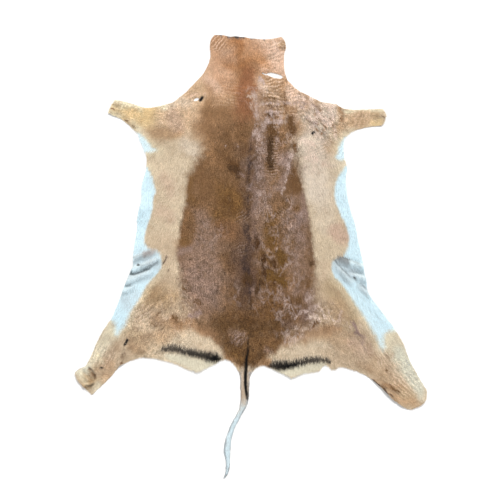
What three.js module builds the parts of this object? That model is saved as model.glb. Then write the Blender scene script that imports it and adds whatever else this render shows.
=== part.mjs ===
// An impala hide: one tanned skin with its short coat on, laid out flat with the coat up.
// The neck, the four legs and the tail are part of the same skin, and a tear and six small holes go
// right through it.
// Millimetres. +Z is up and +Y runs from tail to neck. The origin is on the floor under the hide's middle.
import * as THREE from "three";

// Driving dimensions
const SKIN = 1.4; // the tanned skin without its hair
const COAT = { back: 3.8, flank: 2.6, rim: 0.9 }; // depth of the hair as it lies
const BACK_HALF_WIDTH = 190; // the deeper coat fades out this far from the spine
const RIM_TAPER = 26; // the coat thins over this distance to the cut edge
// The tail's skin is curled in on itself, so it stands higher, and its upper half has a parting down it.
const TAIL_CROWN = { height: 5.5, atHalfWidth: 12, risesBetween: [300, 350] };
const TAIL_GROOVE = { depth: 2.6, half: 4.5, closesBetween: [380, 420] };

// Spacing of the mesh's points
const RIM_STEP = 11;
const TAIL_STEP = 8;
const FIELD_STEP = 16.5;
const FIELD_HALF = { x: 480, y: 600 }; // a box that holds the whole hide
const FOLD_STEP = 9;
const CLEAR = { ofFold: 5.5, ofField: 9 }; // least distance of such a point from those already there
const UNDERSIDE_SKIP = 4; // the flat underside keeps one field point in this many each way

// The tail: the middle of the strip and its width, from the root down to the tip.
const TAIL = [
  { x: -15, y: -321, width: 27 },
  { x: -16, y: -344, width: 24 },
  { x: -16, y: -374, width: 22 },
  { x: -19, y: -398, width: 19 },
  { x: -26, y: -416, width: 14 },
  { x: -37, y: -437, width: 12 },
  { x: -50, y: -463, width: 13 },
  { x: -59, y: -490, width: 15 },
  { x: -63, y: -520, width: 18 },
  { x: -61, y: -549, width: 12 },
  { x: -62, y: -571, width: 9 },
  { x: -66, y: -587, width: 6 },
  { x: -72, y: -597, width: 3 },
];

// The cut edge, clockwise from the left end of the neck cut, as [x, y] points. Each stretch is one smooth
// knife line, and it starts where the one before it ended, at a corner.
const EDGE_BEFORE_TAIL = {
  neckCut: [[-98, 598], [-76, 597], [-53, 593], [-40, 595], [-2, 590], [41, 586], [84, 592]],
  rightNeck: [
    [84, 592], [93, 578], [94, 566], [96, 559], [91, 553], [90, 534], [91, 513], [91, 502], [99, 477],
  ],
  rightShoulder: [[99, 477], [127, 450], [171, 427], [192, 417], [214, 414], [230, 412]],
  rightForelegTop: [[230, 412], [246, 401], [276, 396], [316, 397], [357, 399]],
  rightForelegEnd: [[357, 399], [364, 381], [361, 372], [363, 365], [352, 353]],
  rightForelegUnder: [[352, 353], [316, 349], [284, 342], [265, 333], [252, 320]],
  rightFlank: [
    [252, 320], [249, 290], [256, 255], [261, 239], [257, 215], [260, 169],
    [268, 131], [283, 82], [291, 39], [302, -15], [310, -58], [316, -96],
  ],
  rightHindOuter: [
    [316, -96], [343, -134], [376, -177], [406, -225], [424, -269], [442, -306], [462, -339], [474, -360],
  ],
  rightHindEnd: [[474, -360], [473, -385], [457, -401], [441, -410], [427, -412], [411, -405]],
  rightHindInner: [[411, -405], [381, -382], [338, -340], [295, -312], [254, -298], [236, -296]],
  rightRump: [[236, -296], [222, -306], [209, -294], [195, -292], [187, -306], [149, -313], [111, -325]],
  rightOfTail: [[111, -325], [73, -308], [37, -292], [14, -300]],
};
const EDGE_AFTER_TAIL = {
  leftOfTail: [[-39, -298], [-59, -278], [-73, -276], [-89, -284]],
  leftRump: [
    [-89, -284], [-126, -302], [-145, -309], [-180, -298],
    [-224, -281], [-280, -271], [-315, -277], [-353, -294],
  ],
  leftHindInner: [[-353, -294], [-380, -327], [-413, -358], [-427, -372]],
  leftHindEnd: [[-427, -372], [-458, -343], [-474, -317], [-464, -304], [-445, -296]],
  leftHindOuter: [
    [-445, -296], [-431, -269], [-404, -211], [-372, -161], [-357, -123], [-336, -66], [-317, -24],
  ],
  leftFlank: [
    [-317, -24], [-316, 12], [-306, 77], [-304, 115], [-295, 153], [-293, 196],
    [-282, 234], [-280, 266], [-283, 283], [-292, 306], [-303, 332],
  ],
  leftForelegUnder: [[-303, 332], [-323, 351], [-352, 373], [-384, 387]],
  leftForelegEnd: [[-384, 387], [-375, 408], [-365, 422]],
  leftForelegTop: [[-365, 422], [-332, 416], [-294, 404], [-272, 401], [-240, 408], [-210, 416]],
  leftNeck: [
    [-210, 416], [-183, 437], [-156, 463], [-126, 497], [-114, 521], [-108, 544],
    [-110, 568], [-106, 586], [-98, 598],
  ],
};

// The tear across the right of the neck, and the small round flaws.
const TEAR = [
  [31, 498], [40, 494], [53, 497], [71, 494], [87, 487],
  [84, 481], [68, 481], [59, 483], [49, 489], [37, 490],
];
const FLAWS = [
  { name: "left shoulder", x: -147, y: 424, long: 17, wide: 9, turn: 22 },
  { name: "right shoulder", x: 170, y: 334, long: 11, wide: 8, turn: 20 },
  { name: "left thigh", x: -337, y: -234, long: 18, wide: 8, turn: 62 },
  { name: "left hock", x: -405, y: -302, long: 7, wide: 5, turn: 0 },
  { name: "left flank", x: -303, y: -23, long: 7, wide: 5.5, turn: 20 },
  { name: "right flank", x: 279, y: -58, long: 8, wide: 6, turn: 0 },
];
const FLAW_POINTS = 10;

// Folds that stand up off the floor: a ridge along a bend through three points, half as wide as `half`
// to each side, with its height at the first, middle and last point.
const FOLDS = [
  { name: "left flank, upper", path: [[-317, -4], [-286, 7], [-259, 19]], half: 10, rise: [6, 5, 1] },
  { name: "left flank, main", path: [[-322, -34], [-283, -21], [-245, -1]], half: 11, rise: [10, 8, 2] },
  { name: "left flank, lower", path: [[-336, -66], [-299, -50], [-259, -36]], half: 12, rise: [8, 5, 1] },
  { name: "left groin", path: [[-345, -92], [-323, -82], [-303, -72]], half: 9, rise: [5, 3, 0.5] },
  { name: "right flank, upper", path: [[233, -2], [268, -15], [304, -28]], half: 10, rise: [3, 8, 9] },
  { name: "right flank, slanting", path: [[225, -16], [249, -43], [272, -68]], half: 9, rise: [1, 7, 4] },
  { name: "right flank, lower", path: [[266, -46], [289, -53], [312, -61]], half: 9, rise: [2, 6, 8] },
  { name: "right groin", path: [[287, -74], [300, -86], [316, -102]], half: 8, rise: [1, 4, 6] },
  { name: "right elbow", path: [[238, 412], [241, 385], [235, 356]], half: 13, rise: [5, 6, 1] },
  { name: "right shoulder, long", path: [[158, 373], [181, 347], [211, 312]], half: 9, rise: [1, 4, 1] },
  { name: "right shoulder, short", path: [[208, 376], [196, 354], [185, 340]], half: 8, rise: [1, 3.5, 1] },
  { name: "right neck", path: [[96, 574], [73, 571], [50, 563]], half: 10, rise: [6, 4, 0.5] },
  { name: "right foreleg", path: [[362, 379], [322, 385], [284, 387]], half: 10, rise: [4, 3, 0.5] },
  { name: "left foreleg", path: [[-365, 415], [-318, 404], [-272, 393]], half: 12, rise: [6, 4, 0.5] },
  { name: "left hock, curved", path: [[-446, -300], [-426, -315], [-417, -338]], half: 10, rise: [3, 6, 2] },
  { name: "left hock, end", path: [[-455, -350], [-434, -347], [-408, -336]], half: 9, rise: [6, 5, 1] },
  { name: "left hind leg", path: [[-352, -293], [-345, -269], [-340, -244]], half: 10, rise: [5, 4, 1] },
  { name: "left rump", path: [[-184, -105], [-170, -134], [-161, -168]], half: 15, rise: [0.5, 3, 0.5] },
  { name: "right hind leg, edge", path: [[330, -336], [370, -366], [408, -398]], half: 18, rise: [3, 8, 5] },
  { name: "right hind leg", path: [[350, -240], [365, -258], [380, -281]], half: 8, rise: [1, 4.5, 1] },
  { name: "right thigh", path: [[271, -186], [287, -207], [299, -229]], half: 10, rise: [0.5, 3.5, 0.5] },
  { name: "right rump", path: [[160, -150], [186, -171], [204, -196]], half: 14, rise: [0.5, 3, 0.5] },
];

// Places where the drying skin has lifted its edge off the floor.
const LIFTED_EDGES = [
  { name: "neck, left corner", x: -104, y: 598, reach: 60, rise: 5 },
  { name: "neck, right corner", x: 92, y: 590, reach: 60, rise: 6 },
  { name: "left forefoot", x: -380, y: 405, reach: 60, rise: 6 },
  { name: "right forefoot", x: 362, y: 374, reach: 60, rise: 5 },
  { name: "left flank", x: -302, y: 140, reach: 62, rise: 4 },
  { name: "right flank", x: 264, y: 176, reach: 62, rise: 4 },
  { name: "left hind edge", x: -396, y: -196, reach: 64, rise: 4 },
  { name: "right hind edge", x: 406, y: -218, reach: 70, rise: 5 },
  { name: "left hind foot", x: -464, y: -330, reach: 60, rise: 6 },
  { name: "right hind foot", x: 462, y: -386, reach: 66, rise: 6 },
  { name: "left rump", x: -146, y: -312, reach: 48, rise: 4 },
  { name: "right rump", x: 112, y: -328, reach: 50, rise: 5 },
];

const flatPoint = ([x, y]) => new THREE.Vector2(x, y);

// The points of one smooth stretch, a step apart, without its last one, where the next stretch starts.
function alongStretch(points, step) {
  const curve = new THREE.SplineCurve(points);
  const parts = Math.max(1, Math.round(curve.getLength() / step));
  return curve.getSpacedPoints(parts).slice(0, -1);
}

// The two edges of the tail, each from the root to the tip.
function tailEdges() {
  const middle = new THREE.SplineCurve(TAIL.map(({ x, y }) => new THREE.Vector2(x, y)));
  const right = [];
  const left = [];
  TAIL.forEach(({ x, y, width }, row) => {
    const along = middle.getTangent(row / (TAIL.length - 1));
    const across = new THREE.Vector2(-along.y, along.x).multiplyScalar(width / 2);
    right.push(new THREE.Vector2(x, y).add(across));
    left.push(new THREE.Vector2(x, y).sub(across));
  });
  return { right, left };
}

function outline() {
  const { right, left } = tailEdges();
  const before = Object.values(EDGE_BEFORE_TAIL).map((points) => points.map(flatPoint));
  const after = Object.values(EDGE_AFTER_TAIL).map((points) => points.map(flatPoint));
  before.at(-1).push(right[0]);
  after[0].unshift(left[0]);
  return [
    ...before.flatMap((points) => alongStretch(points, RIM_STEP)),
    ...alongStretch(right, TAIL_STEP),
    right.at(-1),
    ...alongStretch([...left].reverse(), TAIL_STEP),
    ...after.flatMap((points) => alongStretch(points, RIM_STEP)),
  ];
}

function flawLoops() {
  const tear = new THREE.SplineCurve([...TEAR, TEAR[0]].map(flatPoint));
  const round = FLAWS.map(({ x, y, long, wide, turn }) => {
    const tilt = THREE.MathUtils.degToRad(turn);
    return new THREE.EllipseCurve(x, y, long / 2, wide / 2, 0, 2 * Math.PI, false, tilt);
  });
  return [
    tear.getSpacedPoints(2 * TEAR.length).slice(0, -1),
    ...round.map((ellipse) => ellipse.getSpacedPoints(FLAW_POINTS).slice(0, -1)),
  ];
}

// Even-odd test over every loop, so that a point in a flaw counts as outside.
function isInside(loops, x, y) {
  let inside = false;
  for (const loop of loops) {
    loop.forEach((a, i) => {
      const b = loop[(i + 1) % loop.length];
      const crosses = a.y > y !== b.y > y;
      if (crosses && x < a.x + ((y - a.y) / (b.y - a.y)) * (b.x - a.x)) inside = !inside;
    });
  }
  return inside;
}

// The nearest place to (x, y) on a run of points: its distance, and how far along it lies from 0 to 1.
function nearestOn(run, x, y) {
  let best = { distance: Infinity, along: 0 };
  for (let i = 0; i + 1 < run.length; i++) {
    const dx = run[i + 1].x - run[i].x;
    const dy = run[i + 1].y - run[i].y;
    const dot = (x - run[i].x) * dx + (y - run[i].y) * dy;
    const share = THREE.MathUtils.clamp(dot / (dx * dx + dy * dy), 0, 1);
    const distance = Math.hypot(x - run[i].x - share * dx, y - run[i].y - share * dy);
    if (distance < best.distance) best = { distance, along: (i + share) / (run.length - 1) };
  }
  return best;
}

const FOLD_PARTS = 12;
const folds = FOLDS.map((fold) => ({
  ...fold,
  run: new THREE.SplineCurve(fold.path.map(flatPoint)).getPoints(FOLD_PARTS),
}));

// A soft ridge, 1 on its crest and 0 from `half` away.
const ridge = (distance, half) => (distance < half ? (1 + Math.cos((Math.PI * distance) / half)) / 2 : 0);

// A fold's height along its crest, from its three heights.
function riseAt([start, middle, end], along) {
  return along < 0.5
    ? THREE.MathUtils.lerp(start, middle, 2 * along)
    : THREE.MathUtils.lerp(middle, end, 2 * along - 1);
}

// How far the underside of the skin is off the floor.
function lift(x, y) {
  let height = 0;
  for (const { run, half, rise } of folds) {
    const { distance, along } = nearestOn(run, x, y);
    height = Math.max(height, riseAt(rise, along) * ridge(distance, half));
  }
  for (const edge of LIFTED_EDGES) {
    const near = 1 - Math.hypot(x - edge.x, y - edge.y) / edge.reach;
    if (near > 0) height += edge.rise * near * near;
  }
  return height;
}

const tailRun = TAIL.map(({ x, y }) => new THREE.Vector2(x, y));

// The crown of the curled tail, less the parting along its upper half.
function tailHeight(x, y) {
  const { distance, along } = nearestOn(tailRun, x, y);
  const row = along * (TAIL.length - 1);
  const half = THREE.MathUtils.lerp(TAIL[Math.floor(row)].width, TAIL[Math.ceil(row)].width, row % 1) / 2;
  const fade = THREE.MathUtils.smoothstep(-y, ...TAIL_CROWN.risesBetween);
  const fullHeight = TAIL_CROWN.height * Math.sqrt(half / TAIL_CROWN.atHalfWidth);
  const crown = fullHeight * Math.max(0, 1 - (distance / half) ** 2);
  const open = 1 - THREE.MathUtils.smoothstep(-y, ...TAIL_GROOVE.closesBetween);
  const parting = TAIL_GROOVE.depth * ridge(distance, TAIL_GROOVE.half) * open;
  return fade * (crown - parting * Math.min(1, crown));
}

// Skin and coat together.
function thickness(x, y, rimPoints) {
  const toRim = Math.min(...rimPoints.map((p) => Math.hypot(x - p.x, y - p.y)));
  const full = THREE.MathUtils.smoothstep(toRim, 0, RIM_TAPER);
  const back = 1 - THREE.MathUtils.smoothstep(Math.abs(x), 0.35 * BACK_HALF_WIDTH, BACK_HALF_WIDTH);
  const deep = THREE.MathUtils.lerp(COAT.flank, COAT.back, back);
  return SKIN + THREE.MathUtils.lerp(COAT.rim, deep, full) + tailHeight(x, y);
}

// Points along each fold: on its crest and on both slopes.
function foldPoints() {
  const points = [];
  for (const { path, half } of FOLDS) {
    const curve = new THREE.SplineCurve(path.map(flatPoint));
    const parts = Math.round(curve.getLength() / FOLD_STEP);
    for (let part = 0; part <= parts; part++) {
      const at = curve.getPointAt(part / parts);
      const along = curve.getTangentAt(part / parts);
      for (const side of [0, -0.6, 0.6, -1.05, 1.05]) {
        points.push(new THREE.Vector2(at.x - along.y * side * half, at.y + along.x * side * half));
      }
    }
  }
  return points;
}

// A field of points in staggered rows, each nudged a little so that no four lie on one circle.
function fieldPoints() {
  const points = [];
  const rowStep = FIELD_STEP * Math.sin(Math.PI / 3);
  const nudge = 0.04 * FIELD_STEP;
  for (let row = 0; row * rowStep < 2 * FIELD_HALF.y; row++) {
    for (let column = 0; column * FIELD_STEP < 2 * FIELD_HALF.x; column++) {
      const across = (column + (row % 2) / 2) * FIELD_STEP;
      const x = across - FIELD_HALF.x + nudge * Math.sin(5.1 * row + 3.3 * column);
      const y = row * rowStep - FIELD_HALF.y + nudge * Math.cos(4.7 * row + 2.9 * column);
      points.push({ x, y, sparse: row % UNDERSIDE_SKIP === 0 && column % UNDERSIDE_SKIP === 0 });
    }
  }
  return points;
}

// Adds each candidate that lies on the hide and clear of the points already there.
function addPoints(placed, candidates, clear, loops) {
  for (const p of candidates) {
    const free = placed.every((q) => (q.x - p.x) ** 2 + (q.y - p.y) ** 2 > clear * clear);
    if (free && isInside(loops, p.x, p.y)) placed.push(p);
  }
}

// A triangle with the circle through its corners.
function withCircle(points, a, b, c) {
  const [p, q, r] = [points[a], points[b], points[c]];
  const twiceTurn = 2 * ((q.x - p.x) * (r.y - p.y) - (q.y - p.y) * (r.x - p.x));
  const qq = (q.x - p.x) ** 2 + (q.y - p.y) ** 2;
  const rr = (r.x - p.x) ** 2 + (r.y - p.y) ** 2;
  const dx = ((r.y - p.y) * qq - (q.y - p.y) * rr) / twiceTurn;
  const dy = ((q.x - p.x) * rr - (r.x - p.x) * qq) / twiceTurn;
  return { corners: [a, b, c], x: p.x + dx, y: p.y + dy, reach: dx * dx + dy * dy };
}

// Delaunay triangles of flat points, counter-clockwise, adding the points one at a time.
function triangulate(placed) {
  const FAR = 2e4;
  const points = [...placed, { x: -FAR, y: -FAR }, { x: FAR, y: -FAR }, { x: 0, y: FAR }];
  const count = placed.length;
  let triangles = [withCircle(points, count, count + 1, count + 2)];
  placed.forEach((p, index) => {
    const kept = [];
    const opened = new Map();
    for (const triangle of triangles) {
      if ((p.x - triangle.x) ** 2 + (p.y - triangle.y) ** 2 >= triangle.reach) {
        kept.push(triangle);
        continue;
      }
      const [a, b, c] = triangle.corners;
      for (const [from, to] of [[a, b], [b, c], [c, a]]) {
        // An edge met once each way lies inside the opened patch, and only the patch's rim is kept.
        if (!opened.delete(`${to} ${from}`)) opened.set(`${from} ${to}`, [from, to]);
      }
    }
    for (const [from, to] of opened.values()) kept.push(withCircle(points, from, to, index));
    triangles = kept;
  });
  return triangles.map(({ corners }) => corners).filter((corners) => corners.every((i) => i < count));
}

// The triangles that lie on the hide.
function onHide(placed, loops) {
  return triangulate(placed).filter((corners) => {
    const x = corners.reduce((sum, i) => sum + placed[i].x, 0) / 3;
    const y = corners.reduce((sum, i) => sum + placed[i].y, 0) / 3;
    return isInside(loops, x, y);
  });
}

function hideGeometry() {
  const loops = [outline(), ...flawLoops()];
  const rimPoints = loops[0];
  const shared = loops.flat();
  const field = fieldPoints();
  // Whether the underside leaves the floor within one step of a point, looking six ways round it.
  const lifted = (p) =>
    [0, 1, 2, 3, 4, 5].some((way) => {
      const angle = (way * Math.PI) / 3;
      return lift(p.x + FIELD_STEP * Math.cos(angle), p.y + FIELD_STEP * Math.sin(angle)) > 0;
    });

  const above = [...shared];
  addPoints(above, foldPoints(), CLEAR.ofFold, loops);
  addPoints(above, tailRun, CLEAR.ofFold, loops);
  addPoints(above, field, CLEAR.ofField, loops);
  const below = [...shared];
  addPoints(below, foldPoints(), CLEAR.ofFold, loops);
  addPoints(below, field.filter((p) => p.sparse || lifted(p)), CLEAR.ofField, loops);

  const positions = [
    ...above.flatMap(({ x, y }) => [x, y, lift(x, y) + thickness(x, y, rimPoints)]),
    ...below.flatMap(({ x, y }) => [x, y, lift(x, y)]),
  ];
  const under = above.length;
  const faces = onHide(above, loops);
  for (const [a, b, c] of onHide(below, loops)) faces.push([under + a, under + c, under + b]);
  // The cut edge joins the two sides all round the outline and round each flaw.
  let first = 0;
  for (const loop of loops) {
    const skinOnLeft = THREE.ShapeUtils.isClockWise(loop) !== (loop === rimPoints);
    for (let i = 0; i < loop.length; i++) {
      const ends = [first + i, first + ((i + 1) % loop.length)];
      const [a, b] = skinOnLeft ? ends : ends.reverse();
      faces.push([a, under + a, under + b], [a, under + b, b]);
    }
    first += loop.length;
  }

  const geometry = new THREE.BufferGeometry();
  geometry.setAttribute("position", new THREE.Float32BufferAttribute(positions, 3));
  geometry.setIndex(faces.flat());
  geometry.computeBoundingBox();
  const middle = geometry.boundingBox.getCenter(new THREE.Vector3());
  geometry.translate(-middle.x, -middle.y, 0);
  geometry.computeVertexNormals();
  return geometry;
}

const coat = new THREE.MeshStandardMaterial({ color: 0xa9865f, roughness: 0.75, metalness: 0 });
const hide = new THREE.Mesh(hideGeometry(), coat);
hide.name = "hide";

const impalaHide = new THREE.Group();
impalaHide.name = "impala_hide";
impalaHide.add(hide);

export default impalaHide;
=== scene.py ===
"""An impala hide: one tanned skin with its short coat, laid out flat with the coat up.

Places, sizes and heights are in millimetres in the part's own frame: X to the right and Y towards the
neck from the middle of the hide, and Z up from the floor. MM turns them into Blender's metres, which the
node trees use too.
"""
import math

import bmesh
import bpy
import numpy as np
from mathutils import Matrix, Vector, noise
from mathutils.geometry import delaunay_2d_cdt
from mathutils.kdtree import KDTree


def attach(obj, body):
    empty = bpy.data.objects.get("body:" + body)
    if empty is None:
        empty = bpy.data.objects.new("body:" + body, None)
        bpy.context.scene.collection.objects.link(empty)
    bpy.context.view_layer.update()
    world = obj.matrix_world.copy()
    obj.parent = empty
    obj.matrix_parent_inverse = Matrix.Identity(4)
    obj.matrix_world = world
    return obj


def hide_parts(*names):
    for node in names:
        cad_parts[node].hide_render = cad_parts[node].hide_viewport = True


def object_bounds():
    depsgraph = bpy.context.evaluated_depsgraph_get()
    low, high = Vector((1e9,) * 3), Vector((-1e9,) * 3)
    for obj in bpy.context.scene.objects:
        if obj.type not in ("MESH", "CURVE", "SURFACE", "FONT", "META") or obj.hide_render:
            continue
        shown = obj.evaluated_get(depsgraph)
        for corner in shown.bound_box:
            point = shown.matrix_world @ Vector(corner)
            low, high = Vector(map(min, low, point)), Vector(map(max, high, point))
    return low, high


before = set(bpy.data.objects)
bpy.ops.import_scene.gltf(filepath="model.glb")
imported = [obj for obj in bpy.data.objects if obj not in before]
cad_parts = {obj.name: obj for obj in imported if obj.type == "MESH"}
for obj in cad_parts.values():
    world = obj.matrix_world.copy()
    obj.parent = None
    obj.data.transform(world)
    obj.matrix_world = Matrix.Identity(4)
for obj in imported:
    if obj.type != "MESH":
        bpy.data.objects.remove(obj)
cad_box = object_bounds()

MM = 0.001
BODY = "root"
NODE = "hide"

# The photograph looks straight down from above the middle of its frame.
VIEW_CENTRE = (-29.2, 44.6)
VIEW_WIDTH = 1296
LENS = 100
SENSOR = 36

# The floor and the light
FLOOR_SIDE = 30
SKY_STRENGTH = 0.72
WINDOW_STRENGTH = 3.2
WINDOW_SPREAD = math.radians(20)
TOWARDS_WINDOW = (0.2, 0.95, 1.0)

# The skin: its thickness, how far apart its points are inside and along the rim, the sharpest turn of the
# rim that is rounded, how far the cut wanders and how deep a crease is.
SKIN = 1.6
SKIN_STEP = 4.2
RIM_STEP = 4.5
CORNER_TURN = math.radians(38)
RIM_WOBBLE = 0.7
CREASE_DEPTH = 1.1
FACES_UP = 0.05

# In steps: how far the points inside are nudged, and how far they keep from the rim.
NUDGE = 0.18
RIM_CLEARANCE = 0.55

# Folds and creases are drawn in this many parts, and a fold reaches no farther than this from its middle.
BEND_PARTS = 10
FOLD_REACH = 90

# What lies this near to the middle line of the tail is tail, and this near to an open hole's place is it.
TAIL_REACH = 24
HOLE_REACH = 12

# The coat: its locks to the square metre and their size, how steeply they rise, how far each sways from
# the comb, and how far past its root a lock's colour shows.
LOCKS_PER_SQUARE_METRE = 356_000
LOCK_LENGTH = 12.0
LOCK_WIDTH = 1.25
LOCK_DEPTH = 0.5
LOCK_RISE = 0.25
LOCK_SWAY = 0.16
SHOWS_AT = 5.0
SEED = 7

# Where the coat is divided into its parts: across at the neck and at the rump, and along the back.
NECK_LINE = 262
RUMP_LINE = -158
BACK_LINE = -8

# How far the soft sides of a stroke reach, in half widths: it is full up to its core.
CORE = 0.3
WASH_REACH = 1.7
MARK_REACH = 1.6

# The hair as it looks in even daylight, in sRGB.
PALETTE = {
    # sides, neck and legs
    "flank": (209, 192, 166), "pearl": (220, 207, 190), "shoulder": (216, 187, 154),
    "fawn": (190, 159, 125), "tan": (172, 135, 100), "neck": (205, 167, 137), "blush": (234, 204, 180),
    "amber": (166, 117, 77), "ochre": (196, 144, 98), "chestnut": (150, 100, 68), "nape": (190, 147, 112),
    "umber": (148, 112, 78), "wheat": (231, 206, 159), "straw": (236, 226, 198), "rose": (200, 172, 152),
    "thigh": (187, 165, 139), "sand": (204, 184, 158), "hock": (216, 206, 183), "sole": (180, 150, 112),
    "khaki": (184, 162, 130), "ash": (208, 205, 188), "pale_rump": (207, 190, 165),
    # back
    "saddle": (127, 98, 74), "saddle_gold": (126, 93, 62), "saddle_mauve": (145, 118, 100),
    "spine": (84, 62, 50), "rump": (98, 70, 42), "bark": (78, 50, 24), "honey": (122, 88, 50),
    # marks, with light and frost as painted highlights on ruffled hair
    "light": (196, 174, 164), "midline": (66, 50, 44), "frost": (232, 212, 196), "mauve": (158, 134, 124),
    "dusk": (130, 106, 95), "dark": (82, 58, 36), "brown": (112, 80, 50), "gold": (112, 80, 40),
    # the rest: belly_fold_shade is the belly's white with painted shade for its folds
    "cream": (211, 204, 183), "belly": (213, 233, 240), "belly_fold_shade": (190, 201, 206),
    # grey paints shade along the sides of the curled tail.
    "snow": (228, 243, 247), "tail": (196, 178, 157), "tail_tip": (204, 220, 226), "grey": (140, 144, 148),
    "smoke": (68, 63, 62), "black": (2, 2, 3), "flesh": (214, 196, 168), "flesh_dark": (176, 148, 118),
    "flesh_nap": (196, 172, 142), "floor": (232, 232, 232),
}


# Places on the hide

# Folds that stand up off the floor: a ridge along a bend through three points, with its half width and
# its height at the first, middle and last point. They are the solid's own folds.
FOLDS = [
    # x0, y0, x1, y1, x2, y2, half, rise at each point
    (-317, -4, -286, 7, -259, 19, 10, 6, 5, 1), (-322, -34, -283, -21, -245, -1, 11, 10, 8, 2),
    (-336, -66, -299, -50, -259, -36, 12, 8, 5, 1), (-345, -92, -323, -82, -303, -72, 9, 5, 3, 0.5),
    (233, -2, 268, -15, 304, -28, 10, 3, 8, 9), (225, -16, 249, -43, 272, -68, 9, 1, 7, 4),
    (266, -46, 289, -53, 312, -61, 9, 2, 6, 8), (287, -74, 300, -86, 316, -102, 8, 1, 4, 6),
    (238, 412, 241, 385, 235, 356, 13, 5, 6, 1), (158, 373, 181, 347, 211, 312, 9, 1, 4, 1),
    (208, 376, 196, 354, 185, 340, 8, 1, 3.5, 1), (96, 574, 73, 571, 50, 563, 10, 6, 4, 0.5),
    (362, 379, 322, 385, 284, 387, 10, 4, 3, 0.5), (-365, 415, -318, 404, -272, 393, 12, 3, 2, 0.5),
    (-446, -300, -426, -315, -417, -338, 10, 3, 6, 2), (-455, -350, -434, -347, -408, -336, 9, 6, 5, 1),
    (-352, -293, -345, -269, -340, -244, 10, 5, 4, 1),
    (-184, -105, -170, -134, -161, -168, 15, 0.5, 3, 0.5), (330, -336, 370, -366, 408, -398, 18, 3, 8, 5),
    (350, -240, 365, -258, 380, -281, 8, 1, 4.5, 1), (271, -186, 287, -207, 299, -229, 10, 0.5, 3.5, 0.5),
    (160, -150, 186, -171, 204, -196, 14, 0.5, 3, 0.5),
]

# Places where the drying skin has lifted its edge off the floor, with how far they reach and rise.
LIFTED_EDGES = [
    # x, y, reach, rise
    (-104, 598, 60, 5), (92, 590, 60, 6), (-380, 405, 60, 6), (362, 374, 60, 5), (-302, 140, 62, 4),
    (264, 176, 62, 4), (-396, -196, 64, 4), (406, -218, 70, 5), (-464, -330, 60, 6), (462, -386, 66, 6),
    (-146, -312, 48, 4), (112, -328, 50, 5),
]

# The tail, whose skin is curled in on itself: the middle of the strip and its width.
TAIL = [
    # x, y, width
    (-15, -321, 27), (-16, -344, 24), (-16, -374, 22), (-19, -398, 19), (-26, -416, 14), (-37, -437, 12),
    (-50, -463, 13), (-59, -490, 15), (-63, -520, 18), (-61, -549, 12), (-62, -571, 9), (-66, -587, 6),
    (-72, -597, 3),
]
TAIL_CROWN = 4.6
TAIL_HALF_WIDTH = 12
TAIL_RISES = (300, 350)
TAIL_PARTING = (2.4, 4.5)
TAIL_CLOSES = (380, 420)

# How the coat is combed: the heading at each place in degrees, where 0 is to the right and -90 is
# towards the tail, and how far that place counts.
COMBING = [
    # x, y, reach, heading
    (0, 560, 110, -90), (-95, 520, 70, -108), (90, 520, 70, -74), (0, 400, 140, -90), (-180, 380, 80, -135),
    (180, 370, 80, -45), (-310, 395, 70, -190), (310, 375, 70, 0), (-270, 300, 50, -118),
    (240, 300, 50, -62), (0, 200, 150, -90), (0, 0, 150, -90), (0, -180, 130, -90), (-230, 150, 90, -104),
    (-230, 0, 90, -106), (220, 150, 90, -76), (230, 0, 90, -74), (-300, -60, 50, -112), (290, -60, 50, -66),
    (-250, -180, 80, -116), (-400, -290, 80, -130), (-160, -270, 60, -94), (250, -190, 80, -62),
    (410, -320, 80, -50), (150, -280, 60, -86), (-16, -350, 34, -90), (-28, -430, 34, -118),
    (-58, -500, 34, -100), (-62, -570, 34, -98),
]

# The dark saddle on the back and the white edges of the belly, as rings of points.
SADDLE = [
    (-118, 350), (-126, 316), (-138, 280), (-157, 238), (-172, 222), (-175, 180), (-177, 153),
    (-181, 126), (-189, 93), (-196, 55), (-202, 20), (-199, -15), (-192, -50), (-186, -90), (-176, -125),
    (-158, -152), (-130, -186), (-106, -212), (-84, -236), (-70, -262), (-51, -277), (-29, -299),
    (11, -301), (34, -285), (60, -262), (84, -238), (104, -220), (132, -204), (172, -188), (180, -150),
    (175, -90), (175, -50), (178, -23), (173, 4), (167, 45), (162, 85), (155, 120), (149, 153),
    (144, 180), (138, 220), (132, 252), (118, 290), (108, 335), (60, 372), (-60, 380),
]
BELLY = {
    "left_upper": [
        (-345, 336), (-303, 333), (-286, 320), (-272, 304), (-266, 293), (-250, 285), (-280, 281),
        (-300, 279), (-345, 285),
    ],
    "left_lower": [
        (-292, 242), (-280, 239), (-272, 228), (-264, 207), (-259, 188), (-256, 174), (-263, 161),
        (-264, 139), (-269, 112), (-279, 85), (-286, 58), (-288, 36), (-280, 26), (-267, 19), (-256, 18),
        (-245, 7), (-240, -15), (-242, -31), (-253, -47), (-272, -66), (-286, -85), (-299, -112),
        (-313, -131), (-326, -150), (-340, -185), (-353, -201), (-359, -212), (-367, -209),
        (-364, -188), (-369, -177), (-390, -168), (-430, -150), (-360, 0), (-330, 240),
    ],
    "right_upper": [
        (300, 325), (252, 321), (241, 304), (235, 293), (234, 279), (225, 266), (241, 260), (254, 261),
        (290, 262),
    ],
    "right_lower": [
        (262, 246), (256, 242), (246, 231), (235, 215), (227, 193), (225, 166), (230, 144), (238, 126),
        (244, 109), (254, 93), (262, 66), (265, 45), (262, 28), (254, 9), (249, -1), (233, -4),
        (219, -15), (217, -34), (225, -53), (244, -72), (262, -96), (279, -123), (295, -147),
        (311, -171), (327, -198), (341, -220), (349, -242), (357, -252), (362, -244), (357, -225),
        (360, -209), (372, -200), (396, -201), (460, -200), (340, 0), (310, 240),
    ],
}
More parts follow.
